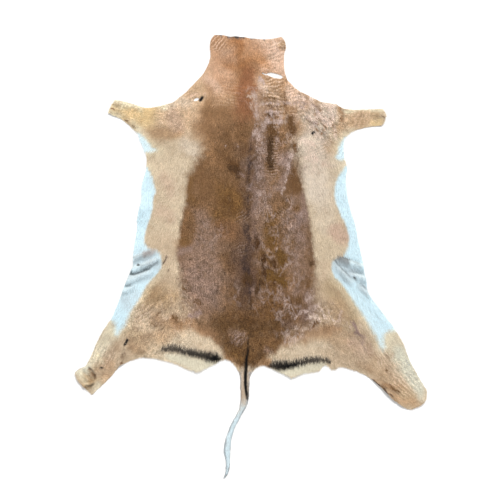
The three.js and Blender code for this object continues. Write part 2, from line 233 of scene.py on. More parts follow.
# The black bands on the rump, each a middle line with its half width.
BANDS = {
    "rump_left": [
        (-240, -251, 1), (-236, -251, 4), (-222, -249, 7), (-205, -250, 7.5), (-190, -253, 7.5),
        (-175, -257, 7), (-160, -260, 9), (-140, -264, 8.5), (-125, -268, 9), (-112, -272, 11),
        (-100, -273, 11), (-90, -275, 11), (-82, -276, 5), (-77, -279, 1),
    ],
    "rump_right": [
        (46, -297, 1), (52, -297, 4), (60, -295, 8), (72, -294, 11), (90, -294, 10.5), (105, -292, 8.5),
        (120, -290, 7.5), (140, -285, 7), (155, -280, 7), (175, -279, 6.5), (192, -279, 5),
        (206, -281, 4), (214, -287, 2),
    ],
}
# How black the bands are from left to right.
INK = [(-240, 0.4), (-200, 0.66), (-122, 0.84), (-100, 1.0), (60, 0.8), (84, 0.94), (110, 1.0), (160, 0.72)]
# The black line that runs into the tail, and the cream below the bands, given the same way.
DORSAL_LINE = [
    (-5, -212, 1), (-8, -226, 1.7), (-9, -240, 2.1), (-7, -256, 2.3), (-11, -268, 3.2), (-13, -280, 4.2),
    (-13, -300, 5), (-14.5, -320, 4.8), (-14.5, -340, 4.4), (-13.5, -356, 4.5), (-11, -374, 3.8),
    (-9.5, -388, 1.8),
]
CREAM = [(-228, -268, 6), (-190, -278, 14), (-150, -292, 18), (-110, -298, 18), (-80, -292, 8)]
CREAM_RIGHT = [(60, -308, 4), (90, -314, 12), (130, -308, 16), (165, -300, 14), (196, -292, 8)]

# Soft clouds of colour, laid on in this order: strokes of a tone along lines, with half width and strength.
# The lists are for the neck, the sides and the legs, for the dark saddle, and for the white of the belly with
# painted shade in its folds.
SIDE_WASHES = [
    # tone, (x0, y0, x1, y1, half, strength) ...
    ("rose", (-232, 205, -214, 176, 18, 0.4), (-240, 125, -212, 108, 16, 0.4)),
    ("thigh", (420, -270, 260, -140, 90, 1.0), (250, -120, 110, -190, 60, 1.0)),
    ("sand", (-225, 50, -212, -10, 22, 0.7), (205, -30, 188, -90, 20, 0.8)),
    ("thigh", (-420, -250, -260, -130, 84, 1.0), (-260, -120, -120, -180, 60, 1.0),
     (-256, 34, -190, 12, 22, 0.5)),
    ("umber", (74, -248, 130, -222, 18, 0.7), (30, -282, 46, -290, 8, 0.9)),
    ("tan", (150, -214, 200, -202, 16, 0.6), (-190, 34, -178, 6, 14, 0.35)),
    ("fawn", (330, -290, 420, -380, 26, 0.45)),
    ("hock", (378, -214, 446, -340, 24, 1.0)),
    ("khaki", (225, -85, 276, -172, 30, 0.8)),
    ("fawn", (226, -130, 232, -150, 20, 0.5), (214, -196, 262, -250, 26, 0.5)),
    ("pale_rump", (-190, 240, -196, 120, 14, 0.7), (84, -262, 205, -248, 18, 0.95)),
    ("umber", (296, -292, 316, -304, 12, 0.7), (338, -336, 404, -370, 10, 0.7)),
    ("ash", (404, -262, 462, -370, 16, 1.0)),
    ("fawn", (396, -384, 440, -392, 24, 0.9)),
    ("neck", (0, 640, 0, 470, 150, 1.0)),
    ("pearl", (196, 120, 198, 90, 26, 0.4)),
    ("shoulder", (-190, 400, -120, 410, 80, 0.8)),
    ("fawn", (-275, 335, -205, 330, 22, 0.9), (-170, 445, -110, 432, 22, 0.4)),
    ("rose", (-205, 385, -195, 350, 16, 0.5), (225, 74, 252, 50, 18, 0.8)),
    ("tan", (-104, 444, -84, 380, 18, 0.6), (200, -192, 232, -196, 12, 0.5)),
    ("sole", (-282, -112, -226, -104, 30, 0.7)),
    ("sand", (-330, -146, -284, -178, 24, 0.8), (-232, -75, -208, -70, 22, 0.4)),
    ("umber", (-106, 392, -96, 366, 16, 0.6), (-266, -170, -220, -186, 14, 0.4)),
    ("khaki", (-330, -204, -300, -214, 16, 0.5), (410, -376, 436, -372, 14, 0.7)),
    ("thigh", (-360, -190, -310, -160, 22, 0.3), (300, -196, 330, -204, 8, 0.4)),
    ("tan", (-112, 392, -100, 364, 22, 0.75), (-90, 352, 60, 350, 50, 0.9)),
    ("umber", (-146, 346, -110, 342, 16, 0.4), (-95, 330, 40, 326, 34, 0.85),
     (-320, -236, -300, -250, 12, 0.3)),
    ("flank", (-200, 298, -160, 300, 18, 0.7)),
    ("tan", (-50, 395, 10, 400, 40, 0.75), (40, 400, 110, 372, 46, 0.75)),
    ("fawn", (60, 450, 95, 440, 30, 0.75), (-240, -216, -190, -190, 20, 0.5),
     (-300, -236, -256, -226, 22, 0.4)),
    ("sand", (-225, -124, -205, -140, 12, 0.3), (-360, -260, -396, -300, 20, 0.5)),
    ("hock", (-385, -200, -440, -290, 24, 1.0), (-408, -250, -426, -284, 14, 0.8)),
    ("ash", (-466, -316, -448, -306, 12, 0.9), (-386, -176, -366, -200, 10, 0.6)),
    ("umber", (60, 345, 110, 330, 30, 0.2), (-210, -160, -190, -186, 13, 0.7)),
    ("khaki", (-446, -330, -420, -342, 16, 0.8)),
    ("hock", (-424, -362, -396, -338, 10, 0.8)),
    ("tan", (-160, -180, -100, -212, 20, 0.8), (-414, -300, -380, -296, 14, 0.4)),
    ("neck", (-80, 500, -75, 460, 40, 0.8)),
    ("sole", (-452, -350, -430, -336, 9, 0.8)),
    ("ochre", (-392, -330, -374, -350, 14, 0.3)),
    ("khaki", (-434, -304, -420, -322, 8, 0.35)),
    ("straw", (-462, -318, -448, -344, 8, 0.6), (-430, -266, -416, -292, 10, 0.6)),
    ("rose", (280, -236, 310, -250, 20, 0.5)),
    ("sand", (340, -250, 352, -290, 12, 0.6), (300, -176, 312, -206, 12, 0.5)),
    ("tan", (-100, 585, -66, 572, 18, 0.6)),
    ("thigh", (216, -262, 300, -280, 24, 0.6)),
    ("sand", (330, -328, 350, -344, 12, 0.5)),
    ("thigh", (256, -288, 310, -306, 22, 0.5)),
    ("umber", (-120, -190, -80, -226, 18, 0.8)),
    ("pale_rump", (-200, -226, -120, -234, 17, 0.95), (-120, -236, -84, -250, 14, 0.8)),
    ("wheat", (-385, 402, -285, 385, 32, 0.95)),
    ("straw", (-384, 390, -368, 382, 16, 0.9), (-372, 422, -300, 408, 14, 1.0),
     (-300, 408, -236, 408, 12, 1.0), (-326, 362, -310, 352, 8, 0.6)),
    ("pearl", (-218, 410, -168, 426, 14, 0.5), (-176, 308, -152, 288, 20, 0.6),
     (-306, 336, -286, 322, 10, 0.6)),
    ("amber", (-48, 592, -36, 552, 20, 0.95)),
    ("nape", (-84, 446, -60, 410, 34, 0.85), (-8, 578, 0, 548, 16, 0.8)),
    ("neck", (-76, 540, -66, 520, 12, 0.5)),
    ("nape", (-90, 586, -70, 540, 26, 0.6)),
    ("ochre", (-12, 544, 14, 536, 18, 0.35), (0, 524, 50, 522, 16, 0.6)),
    ("blush", (36, 588, 66, 580, 20, 0.55), (54, 556, 88, 552, 22, 0.6)),
    ("amber", (-50, 524, -14, 514, 20, 1.0)),
    ("nape", (4, 584, 24, 580, 14, 0.15)),
    ("tan", (-40, 495, -20, 484, 14, 0.7)),
    ("nape", (4, 508, 8, 496, 12, 0.7)),
    ("umber", (18, 490, 30, 482, 8, 0.5), (-60, -262, -40, -288, 12, 0.9)),
    ("amber", (-20, 500, -20, 400, 32, 0.7)),
    ("chestnut", (-10, 490, -16, 395, 17, 0.85)),
    ("rose", (20, 474, 24, 448, 10, 0.6), (12, 432, 18, 372, 13, 0.85), (-60, 546, -50, 532, 18, 0.4)),
    ("nape", (20, 482, 44, 478, 10, 0.7)),
    ("umber", (-106, 402, -70, 392, 20, 0.6), (-100, 376, -50, 372, 24, 0.9)),
    ("fawn", (44, 462, 66, 436, 22, 0.7), (-90, 432, -60, 424, 20, 0.5)),
    ("blush", (62, 535, 92, 505, 22, 0.75)),
    ("rose", (-112, 468, -100, 452, 14, 0.5), (8, 586, 34, 576, 12, 0.35)),
    ("chestnut", (-24, 395, -14, 335, 27, 0.95)),
    ("umber", (-70, 380, -60, 350, 20, 0.5)),
    ("chestnut", (-26, 350, -14, 330, 18, 0.5)),
    ("tan", (-62, 428, -48, 408, 16, 0.35)),
    ("shoulder", (50, 412, 90, 418, 14, 0.6)),
    ("blush", (-112, 474, -88, 452, 14, 0.35)),
    ("tan", (92, 440, 96, 396, 12, 0.6)),
    ("blush", (105, 478, 118, 456, 10, 0.5)),
    ("tan", (96, 466, 108, 446, 12, 0.8)),
    ("blush", (110, 446, 140, 420, 14, 0.8)),
    ("fawn", (84, 578, 92, 566, 8, 0.8)),
    ("pearl", (128, 400, 140, 380, 10, 0.4)),
    ("rose", (140, 425, 170, 400, 20, 0.6), (22, 374, 34, 342, 12, 0.6)),
    ("tan", (50, 470, 82, 452, 18, 0.5)),
    ("pearl", (190, 395, 228, 402, 26, 0.8), (160, 372, 195, 352, 22, 0.7)),
    ("fawn", (236, 404, 246, 350, 11, 0.8)),
    ("rose", (172, 322, 190, 296, 22, 0.7)),
    ("fawn", (212, 300, 226, 268, 14, 0.7), (214, 350, 236, 330, 14, 0.6)),
    ("shoulder", (262, 374, 300, 374, 26, 0.8)),
    ("fawn", (282, 366, 292, 352, 12, 0.6), (262, 345, 240, 326, 12, 0.15)),
    ("pearl", (165, 306, 180, 180, 42, 0.95), (176, 392, 206, 376, 18, 0.35)),
    ("umber", (168, 428, 192, 414, 14, 0.3), (20, 426, 72, 410, 16, 0.4)),
    ("rose", (196, 250, 222, 250, 9, 0.5)),
    ("pearl", (214, 262, 244, 250, 14, 0.6)),
    ("sole", (318, 376, 340, 374, 26, 0.2)),
    ("straw", (262, 394, 360, 396, 5, 0.9)),
    ("wheat", (322, 366, 352, 364, 9, 0.8)),
    ("sole", (328, 384, 344, 383, 7, 0.5)),
]
BACK_WASHES = [
    # tone, (x0, y0, x1, y1, half, strength) ...
    ("umber", (-60, 380, 60, 370, 60, 0.9), (84, 312, 88, 290, 16, 0.7)),
    ("tan", (-130, 340, -110, 372, 24, 0.7)),
    ("saddle_gold", (-130, 260, -60, 150, 82, 1.0)),
    ("honey", (-166, 216, -164, 160, 12, 0.6), (-158, 148, -150, 152, 12, 0.5),
     (-76, 176, -40, 150, 24, 0.7), (-64, 142, -34, 128, 26, 0.8)),
    ("bark", (-64, 148, -50, 130, 12, 0.4)),
    ("brown", (-150, 132, -138, 126, 10, 0.5)),
    ("honey", (-92, 114, -72, 106, 13, 0.9)),
    ("saddle_mauve", (-128, 96, -118, 40, 28, 0.8), (-130, 20, -130, -100, 56, 0.9)),
    ("chestnut", (-70, 76, -50, 60, 24, 0.25)),
    ("saddle_gold", (-174, 106, -178, 44, 17, 0.95)),
    ("honey", (-186, 44, -172, 40, 10, 0.5)),
    ("brown", (-72, 0, -60, -30, 18, 0.6)),
    ("spine", (-34, 16, -30, -110, 24, 0.5), (-14, -80, -20, -150, 20, 0.5)),
    ("umber", (-128, 318, -106, 268, 22, 0.9)),
    ("brown", (-64, 330, -60, 300, 16, 0.6), (-84, 270, -60, 256, 18, 0.6)),
    ("bark", (-58, 242, -28, 236, 15, 0.8)),
    ("spine", (-18, 304, 6, 270, 20, 0.6), (-16, 250, -12, -90, 14, 0.45)),
    ("saddle_mauve", (-16, 80, -12, 60, 10, 0.35), (-26, 262, -18, 200, 8, 0.6)),
    ("umber", (-36, 326, -16, 316, 12, 0.6)),
    ("dusk", (14, 330, 12, 60, 13, 0.9)),
    ("saddle_mauve", (30, 350, 26, 60, 14, 0.9), (50, 210, 44, 120, 24, 0.8)),
    ("brown", (12, 310, 10, 262, 12, 0.5), (-70, 84, -56, 52, 22, 0.3)),
    ("bark", (-18, -54, 6, -68, 10, 0.8)),
    ("umber", (66, 210, 66, 130, 20, 0.5)),
    ("honey", (52, 245, 74, 228, 14, 0.5)),
    ("spine", (10, 20, 12, -160, 18, 0.7), (20, 250, 22, 210, 16, 0.2)),
    ("mauve", (-196, 14, -168, 20, 9, 0.6), (20, 14, 22, -20, 7, 0.4), (98, 232, 84, 186, 8, 0.8)),
    ("brown", (-22, 344, -14, 286, 16, 0.55), (-20, 228, -16, 176, 10, 0.3)),
    ("honey", (58, 108, 58, 24, 21, 0.85)),
    ("brown", (34, 4, 30, -70, 12, 0.85), (20, 100, 24, 90, 18, 0.3)),
    ("umber", (74, 276, 82, 262, 12, 0.5)),
    ("mauve", (108, 278, 94, 250, 14, 0.8)),
    ("brown", (116, 230, 120, 186, 20, 0.9)),
    ("saddle_mauve", (128, 158, 128, 148, 14, 0.6)),
    ("mauve", (140, 172, 148, 112, 9, 0.5)),
    ("saddle_mauve", (104, 110, 124, 50, 26, 0.8)),
    ("mauve", (134, 110, 140, 92, 12, 0.6)),
    ("honey", (122, 138, 120, 128, 6, 0.6), (92, 44, 104, 40, 8, 0.7)),
    ("bark", (56, -4, 52, -50, 9, 0.6)),
    ("brown", (132, 74, 142, 80, 9, 0.7)),
    ("honey", (50, -6, 74, -66, 30, 0.75)),
    ("gold", (80, 4, 84, -14, 13, 0.8), (40, -46, 54, -48, 14, 0.8), (66, -58, 76, -70, 11, 0.7)),
    ("bark", (88, -58, 86, -70, 7, 0.8)),
    ("umber", (146, 14, 150, -10, 14, 0.5)),
    ("saddle_gold", (158, -40, 164, -76, 14, 0.5)),
    ("saddle_mauve", (132, 20, 136, -40, 20, 0.7), (104, -24, 112, -44, 12, 0.7)),
    ("mauve", (122, 98, 138, 56, 15, 0.45), (132, 114, 148, 88, 14, 0.4)),
    ("umber", (110, -62, 96, -96, 18, 0.6)),
    ("brown", (22, -14, 66, -22, 20, 0.35)),
    ("honey", (56, -104, 66, -142, 20, 0.85)),
    ("saddle_mauve", (100, -110, 104, -140, 20, 0.6), (62, -8, 72, -24, 6, 0.4)),
    ("brown", (126, -112, 112, -156, 13, 0.6), (142, -96, 134, -120, 12, 0.5)),
    ("mauve", (20, -90, 26, -140, 16, 0.5), (88, 30, 108, 8, 14, 0.35)),
    ("dusk", (112, -190, 160, -166, 30, 0.8)),
    ("brown", (116, -172, 138, -186, 18, 0.7)),
    ("rump", (-86, -180, 50, -168, 28, 0.8), (-40, -206, 60, -206, 44, 1.0)),
    ("brown", (50, -94, 90, -104, 26, 0.8), (92, -134, 112, -146, 20, 0.55)),
    ("umber", (34, -214, 62, -226, 16, 0.4)),
    ("bark", (-30, -162, 4, -178, 14, 0.4)),
    ("rump", (-30, -280, 20, -280, 50, 1.0)),
    ("umber", (52, -268, 28, -288, 12, 0.6), (-6, -232, 12, -236, 14, 0.3)),
    ("honey", (-60, -250, -36, -280, 12, 0.6)),
    ("brown", (74, -200, 84, -232, 14, 0.7), (-60, -104, -50, -150, 26, 0.65),
     (12, -134, 70, -150, 26, 0.8)),
    ("mauve", (38, -250, 48, -258, 8, 0.5), (-152, -56, -108, -92, 36, 0.3),
     (126, -90, 156, -114, 14, 0.5)),
    ("dusk", (92, -178, 108, -190, 14, 0.5)),
    ("saddle_mauve", (-48, -210, -18, -214, 10, 0.6), (124, -174, 148, -190, 10, 0.4)),
    ("brown", (84, -222, 104, -212, 12, 0.4)),
]

BELLY_WASHES = [
    # tone, (x0, y0, x1, y1, half, strength) ...
    ("snow", (-300, 330, -266, 290, 30, 1.0), (250, 310, 246, 270, 20, 0.6),
     (276, -110, 352, -220, 18, 0.3)),
    # Painted shade in the folds of the belly.
    ("belly_fold_shade", (-330, -18, -262, 4, 20, 0.5), (-330, -60, -275, -48, 14, 0.5),
     (232, -14, 262, -50, 20, 0.7), (276, -40, 306, -56, 14, 0.4), (296, -80, 314, -96, 9, 0.7),
     (-348, -104, -330, -132, 14, 0.5), (-320, -94, -300, -112, 16, 0.4)),
    ("mauve", (-286, 6, -264, 14, 7, 0.5)),
    # Painted shade in a fold of the belly.
    ("belly_fold_shade", (-274, -14, -250, -26, 12, 0.6)),
    ("smoke", (236, -5, 262, -14, 6, 0.5)),
]

# Torn-looking marks where the coat was stroked the wrong way, given the same way: the strongest shows.
# The light and frost marks are painted highlights on such hair; a few smoke and dark marks are painted shade.
MARKS = [
    # tone, (x0, y0, x1, y1, half, strength) ...
    ("brown", (90, 552, 94, 560, 2, 0.7), (78, 577, 94, 572, 2, 0.6), (358, 382, 364, 374, 3, 0.8),
     (-345, 371, -334, 365, 2, 0.6), (-322, 352, -312, 346, 2, 0.6), (-156, 414, -140, 414, 3, 0.4),
     (90, 438, 95, 388, 6, 0.5), (106, 372, 111, 340, 14, 0.7), (50, 352, 62, 330, 12, 0.75),
     (52, 262, 56, 232, 9, 0.5), (118, 300, 122, 286, 8, 0.7), (40, 444, 76, 440, 5, 0.4),
     (42, 426, 76, 424, 6, 0.45), (44, 404, 76, 401, 6, 0.6), (34, 384, 68, 377, 5, 0.5),
     (-66, 262, -42, 256, 5, 0.5), (-108, 204, -102, 198, 4, 0.5), (-92, 268, -86, 262, 4, 0.4),
     (-160, 228, -150, 220, 5, 0.4), (-86, 144, -62, 116, 12, 0.4), (158, 20, 164, 6, 5, 0.6),
     (146, 0, 150, -6, 5, 0.5), (120, 126, 126, 134, 7, 0.4), (128, 72, 142, 78, 6, 0.35),
     (160, -194, 182, -176, 4, 0.8), (158, -70, 148, -94, 6, 0.5), (74, -232, 82, -214, 6, 0.6),
     (376, -350, 402, -370, 4, 0.6), (366, -306, 384, -320, 3, 0.4), (-256, -164, -246, -150, 5, 0.4),
     (-300, -162, -282, -150, 2, 0.5), (-186, -112, -178, -146, 3, 0.4), (-182, -82, -174, -92, 6, 0.6),
     (-208, -162, -188, -182, 10, 0.4), (-202, -166, -194, -176, 5, 0.6), (-250, -178, -232, -190, 4, 0.35),
     (-352, -292, -344, -262, 4, 0.5), (-152, -120, -138, -126, 8, 0.5), (-267, -185, -240, -196, 6, 0.4)),
    # The light marks are painted sheen on hair lying the wrong way.
    ("light", (22, 478, 34, 470, 5, 0.6), (8, 438, 16, 420, 7, 0.45), (14, 410, 14, 374, 9, 0.45),
     (19, 369, 9, 331, 9, 0.42), (26, 362, 34, 348, 8, 0.5), (30, 347, 46, 374, 6, 0.6),
     (33, 414, 82, 414, 4, 0.55), (38, 393, 79, 387, 4, 0.6), (52, 387, 63, 369, 3, 0.7),
     (41, 363, 84, 363, 4, 0.9), (73, 428, 79, 358, 4, 0.5), (87, 414, 154, 414, 3, 0.6),
     (133, 404, 149, 401, 3, 0.6), (172, 404, 188, 378, 8, 0.6), (149, 374, 176, 358, 6, 0.6),
     (26, 325, 24, 290, 14, 0.42), (24, 290, 20, 110, 13, 0.26), (-16, 250, -12, 210, 5, 0.25),
     (112, 282, 100, 240, 8, 0.45), (98, 235, 84, 170, 6, 0.5), (66, 16, 76, 22, 4, 0.5),
     (282, 388, 292, 344, 3, 0.3), (-96, 312, -92, 304, 3, 0.4), (-74, 306, -68, 298, 4, 0.3),
     (-42, 306, -36, 298, 4, 0.35), (40, -26, 46, -20, 4, 0.3), (62, -38, 66, -30, 5, 0.3),
     (92, -36, 100, -22, 6, 0.3), (20, -86, 34, -124, 8, 0.25), (12, -120, 34, -150, 5, 0.2),
     (118, -166, 146, -140, 4, 0.55), (146, -150, 176, -132, 5, 0.6), (100, -178, 92, -236, 5, 0.3),
     (124, -186, 118, -216, 5, 0.4), (86, -110, 104, -136, 7, 0.35), (150, -116, 166, -98, 7, 0.45),
     (242, -150, 236, -176, 5, 0.4), (262, -176, 268, -206, 5, 0.35), (-46, -108, -44, -98, 7, 0.3)),
    ("dark", (-6, 210, -4, 204, 7, 0.7), (-12, -46, 0, -70, 9, 0.6), (0, -116, 1, -152, 4, 0.7),
     (26, -66, 12, -100, 4, 0.7), (2, 268, 10, 262, 6, 0.4), (52, 318, 54, 240, 10, 0.7),
     (44, 384, 66, 382, 3, 0.6), (12, 366, 40, 370, 4, 0.5), (-58, 240, -28, 231, 9, 0.6),
     (-38, 222, -32, 208, 5, 0.6), (48, -8, 60, -16, 4, 0.5), (160, -8, 165, -20, 6, 0.7),
     (68, -177, 92, -144, 7, 0.4), (100, -177, 133, -146, 7, 0.4), (84, -212, 98, -185, 7, 0.4),
     # The two dark marks from (334, -336) to (392, -388) are painted shade along the rolled inner edge of the
     # right hind leg.
     (274, -182, 282, -194, 3, 0.5), (334, -336, 368, -366, 3, 0.9), (368, -366, 392, -388, 3, 0.6),
     (-262, -194, -255, -186, 3, 0.5), (-240, -200, -236, -192, 3, 0.5), (-143, -174, -134, -180, 7, 0.5),
     (-286, -150, -298, -160, 3, 0.5), (-231, -2, -237, -17, 2, 0.7), (-241, -4, -239, -12, 2, 0.4),
     (-226, -38, -221, -36, 2, 0.5), (-50, -226, -42, -216, 4, 0.4)),
    # The frost marks are painted highlights on the ridges of ruffled and folded hair.
    ("frost", (160, 374, 171, 366, 5, 0.8), (150, 390, 157, 376, 4, 0.6), (176, 372, 190, 384, 5, 0.9),
     (194, 364, 202, 378, 5, 0.8), (208, 368, 214, 352, 4, 0.8), (164, 402, 173, 404, 4, 0.5),
     (140, 312, 168, 302, 8, 0.5), (150, 268, 176, 256, 7, 0.5), (222, 338, 228, 326, 3, 0.6),
     (186, 384, 208, 355, 6, 0.8), (157, 436, 165, 420, 4, 0.7), (133, 441, 144, 423, 4, 0.6),
     (213, 401, 222, 366, 8, 0.7), (176, 333, 192, 315, 4, 0.6), (227, 350, 230, 320, 3, 0.7),
     (150, 292, 176, 262, 10, 0.4), (162, 350, 178, 352, 4, 0.8), (196, 408, 226, 404, 7, 0.6),
     (160, 336, 178, 327, 5, 0.5), (160, -160, 184, -168, 6, 0.42), (152, -190, 172, -172, 5, 0.25),
     (186, -136, 202, -168, 5, 0.4), (200, -130, 228, -180, 4, 0.4)),
    ("midline", (0, 300, -1, 272, 7, 0.4), (-1, 258, -8, 228, 9, 0.55), (-10, 214, -4, 192, 8, 0.5),
     (-7, 178, -12, 142, 8, 0.45), (-6, 126, -10, 100, 7, 0.4), (-13, 82, -6, 46, 9, 0.5),
     (-9, 30, -14, -2, 9, 0.5), (-22, -10, -14, -40, 11, 0.5), (-4, -22, -8, -60, 7, 0.5),
     (-52, 10, -44, -14, 8, 0.3), (-34, 62, -28, 44, 8, 0.3), (-9, -60, 0, -130, 7, 0.45)),
    ("tan", (70, 568, 90, 564, 2, 0.6), (168, 396, 181, 357, 3, 0.5), (206, 350, 190, 330, 4, 0.6),
     (-380, 402, -366, 399, 2, 0.8), (-380, 389, -364, 394, 2, 0.6), (243, 400, 246, 362, 4, 0.6),
     (104, 398, 124, 392, 5, 0.6), (-290, -124, -256, -100, 4, 0.4), (-322, -176, -296, -160, 3, 0.4)),
    ("bark", (24, -56, 32, -76, 5, 0.6), (60, -60, 64, -76, 4, 0.6), (84, -50, 87, -72, 5, 0.5),
     (62, -12, 66, -28, 6, 0.6), (46, -34, 34, -50, 8, 0.7), (18, 56, 18, 28, 8, 0.65),
     (38, 2, 34, -12, 9, 0.6), (32, -22, 34, -44, 6, 0.6)),
    ("mauve", (-28, 224, -16, 214, 6, 0.5), (272, -176, 289, -204, 5, 0.8), (282, -206, 304, -217, 5, 0.8),
     (298, -225, 311, -252, 4, 0.5), (322, -220, 325, -247, 3, 0.4), (-164, -162, -137, -150, 8, 0.6),
     (-52, -230, -24, -210, 6, 0.35), (-40, -238, -12, -220, 6, 0.4)),
    ("umber", (-444, -304, -419, -330, 3, 0.6), (176, 408, 190, 396, 6, 0.5), (184, 372, 198, 352, 4, 0.6),
     (176, 344, 196, 326, 3, 0.6), (214, 372, 222, 350, 4, 0.5), (200, 318, 224, 306, 3, 0.4)),
    ("straw", (-310, 408, -244, 404, 4, 0.8), (362, -240, 378, -272, 2, 0.5),
     (356, -256, 372, -290, 2, 0.5), (404, -318, 440, -352, 2, 0.5), (392, -330, 430, -364, 2, 0.4)),
    ("gold", (78, 8, 86, -16, 12, 0.8), (46, -40, 58, -58, 12, 0.8), (70, -58, 90, -70, 11, 0.75),
     (48, 93, 58, 36, 14, 0.4)),
    # The smoke marks along the top edge of the neck are painted shade along its lifted edge.
    ("smoke", (-95, 594, -58, 591, 3, 0.5), (-60, 590, -20, 588, 3.5, 0.9), (-20, 588, 36, 584, 3, 0.8)),
    ("blush", (-162, 434, -120, 438, 4, 0.5)),
    ("grey", (424, -284, 430, -298, 4, 0.35)),
]

# Where the coat is ruffled up into a net of ridges, painted pale as highlights, with painted shade in the
# hollows between them, as spots with their radius and strength.
RUFFLED = [
    # x, y, radius, strength
    (24, 430, 46, 0.9), (100, 350, 50, 0.6), (70, 350, 60, 0.8), (190, 370, 60, 0.8), (175, 270, 56, 0.7),
    (130, 440, 40, 0.6), (90, 250, 40, 0.5), (24, 260, 40, 0.45), (30, 180, 50, 0.5), (90, 110, 60, 0.7),
    (80, 20, 80, 0.6), (90, -70, 80, 0.5), (120, -150, 80, 0.75), (110, -205, 44, 0.8),
    (190, -150, 44, 0.7), (-36, -218, 24, 0.2), (30, -120, 44, 0.3), (70, 570, 40, 0.6),
    (270, -200, 50, 0.3), (-110, 60, 50, 0.3), (-30, -100, 40, 0.4), (-200, -150, 70, 0.3),
]

# How rough and speckled the coat is: a spot with its radius and strength.
SMOOTHEST = 0.25
ROUGH = [
    # x, y, radius, strength
    (0, 520, 120, 0.5), (-40, 400, 120, 0.5), (-190, 400, 90, 0.6), (200, 380, 90, 0.9), (90, 430, 80, 0.8),
    (-330, 395, 60, 0.5), (340, 380, 60, 0.4), (0, 250, 160, 0.75), (0, 50, 200, 0.8), (0, -130, 190, 0.9),
    (0, -240, 90, 1.15), (-120, 90, 90, 1.0), (-110, -60, 110, 1.15), (64, 100, 84, 1.15),
    (70, 290, 90, 1.05), (-250, -190, 130, 0.85), (270, -230, 130, 0.5), (-400, -300, 80, 0.6),
    (410, -330, 80, 0.5), (210, -160, 50, 0.8), (-200, -140, 60, 0.8),
]

# Fine ripples across the lie of the coat: a spot with its radius, the heading across the ripples in
# degrees, how far apart they are and their strength. Their crests are painted pale as highlights, and the
# colour is made lighter and darker across them as painted light and shade.
RIPPLES = [
    # x, y, radius, heading, apart, strength
    (58, 304, 26, -90, 7, 0.9), (60, 268, 26, -92, 7, 1.0), (58, 232, 24, -88, 7, 0.9),
    (-88, 574, 28, -42, 7.5, 0.9), (62, 466, 34, -82, 9, 0.9), (62, 428, 34, -96, 10, 1.0),
    (66, 392, 30, -86, 10, 0.9), (116, 436, 32, -68, 10, 0.8), (124, 396, 28, -84, 11, 0.7),
    (72, 548, 34, -78, 9, 0.8), (40, 506, 20, -84, 9, 0.5), (80, 110, 26, -125, 8, 0.5),
    (-20, 104, 26, -60, 7, 0.5), (-24, 20, 26, -70, 8, 0.4), (185, 288, 34, -64, 8, 0.5),
    (205, 348, 30, -135, 9, 0.7), (246, 285, 22, -48, 7, 0.7), (300, 376, 40, -12, 11, 0.4),
    (-230, 388, 44, -110, 10, 0.35), (-330, 395, 44, -25, 10, 0.35), (-165, 428, 34, -60, 8, 0.4),
    (-60, 440, 50, -100, 9, 0.3), (415, -345, 50, 48, 9, 0.6), (362, -275, 36, 30, 8, 0.45),
    (395, -300, 30, 40, 9, 0.45), (-34, -218, 26, -45, 9, 0.5), (-400, -270, 44, -24, 9, 0.5),
    (-290, -150, 40, -58, 12, 0.5),
]

# Creases where folded skin has closed on itself: a bend through three points, its half width and how dark and
# deep it is.
# The skin is sunk there, and the darkening is painted shade in the crease.
CREASES = [
    # x0, y0, x1, y1, x2, y2, half, strength
    (-318, -8, -290, 2, -266, 17, 4, 0.55), (-302, -30, -274, -25, -243, -8, 4, 0.6),
    (-332, -49, -300, -43, -266, -28, 5, 1.2), (-341, -83, -330, -79, -322, -75, 3, 0.9),
    (222, -4, 243, -31, 271, -59, 3, 0.9), (230, -4, 262, -8, 303, -31, 5, 0.6),
    (268, -38, 286, -43, 304, -45, 3, 0.6), (294, -71, 302, -80, 312, -89, 3, 0.6),
    (-444, -300, -428, -314, -419, -333, 3, 1.2), (-452, -353, -436, -350, -424, -346, 3, 1.3),
    (-462, -320, -452, -330, -444, -342, 3, 0.4), (-348, -290, -346, -268, -342, -244, 4, 0.35),
    (173, 350, 190, 339, 211, 312, 3, 0.5), (165, 369, 175, 356, 184, 344, 3, 0.5),
    (187, 347, 194, 358, 203, 369, 3, 0.4), (243, 401, 247, 382, 243, 362, 4, 0.3),
    (343, -345, 372, -360, 403, -375, 4, 0.5), (273, -188, 284, -203, 295, -220, 3, 0.4),
    (365, -247, 371, -258, 376, -271, 3, 0.4), (66, 571, 78, 575, 92, 577, 3, 0.25),
    (-186, -100, -176, -122, -168, -146, 4, 0.3),
]

# Small black spots painted on the hair round the small holes and beside the hole in the left shoulder: a
# stroke with its half width.
BLACK_SPOTS = [
    # x0, y0, x1, y1, half
    (-137, 421, -132, 429, 4.2), (166, 332, 171, 335, 3.6), (-341, -238, -334, -226, 3.6),
    (-406, -300, -402, -301, 2.6), (-305, -23, -301, -24, 2.6), (278, -57, 280, -58, 2.0),
]

# The tear and the hole in the left shoulder stay open. The other holes are drawn smaller, keeping this share
# of the hole.
OPEN_HOLES = [(60, 489), (-147, 424)]
SMALL_HOLE_SHARE = 0.15


# Sums on the plan of the hide


def step_between(value, low, high):
    """0 up to low, 1 from high, and smooth between."""
    t = np.clip((value - low) / (high - low), 0, 1)
    return t * t * (3 - 2 * t)


def nearest_on(places, run):
    """How far each place is from a run of points, and where along it the nearest point is, in points."""
    run = np.asarray(run, float)
    best = np.full(len(places), np.inf)
    along = np.zeros(len(places))
    for i, (a, b) in enumerate(zip(run[:-1], run[1:])):
        d = b - a
        share = np.clip((places - a) @ d / (d @ d), 0, 1)
        off = np.hypot(*(places - a - share[:, None] * d).T)
        nearer = off < best
        best[nearer] = off[nearer]
        along[nearer] = i + share[nearer]
    return best, along


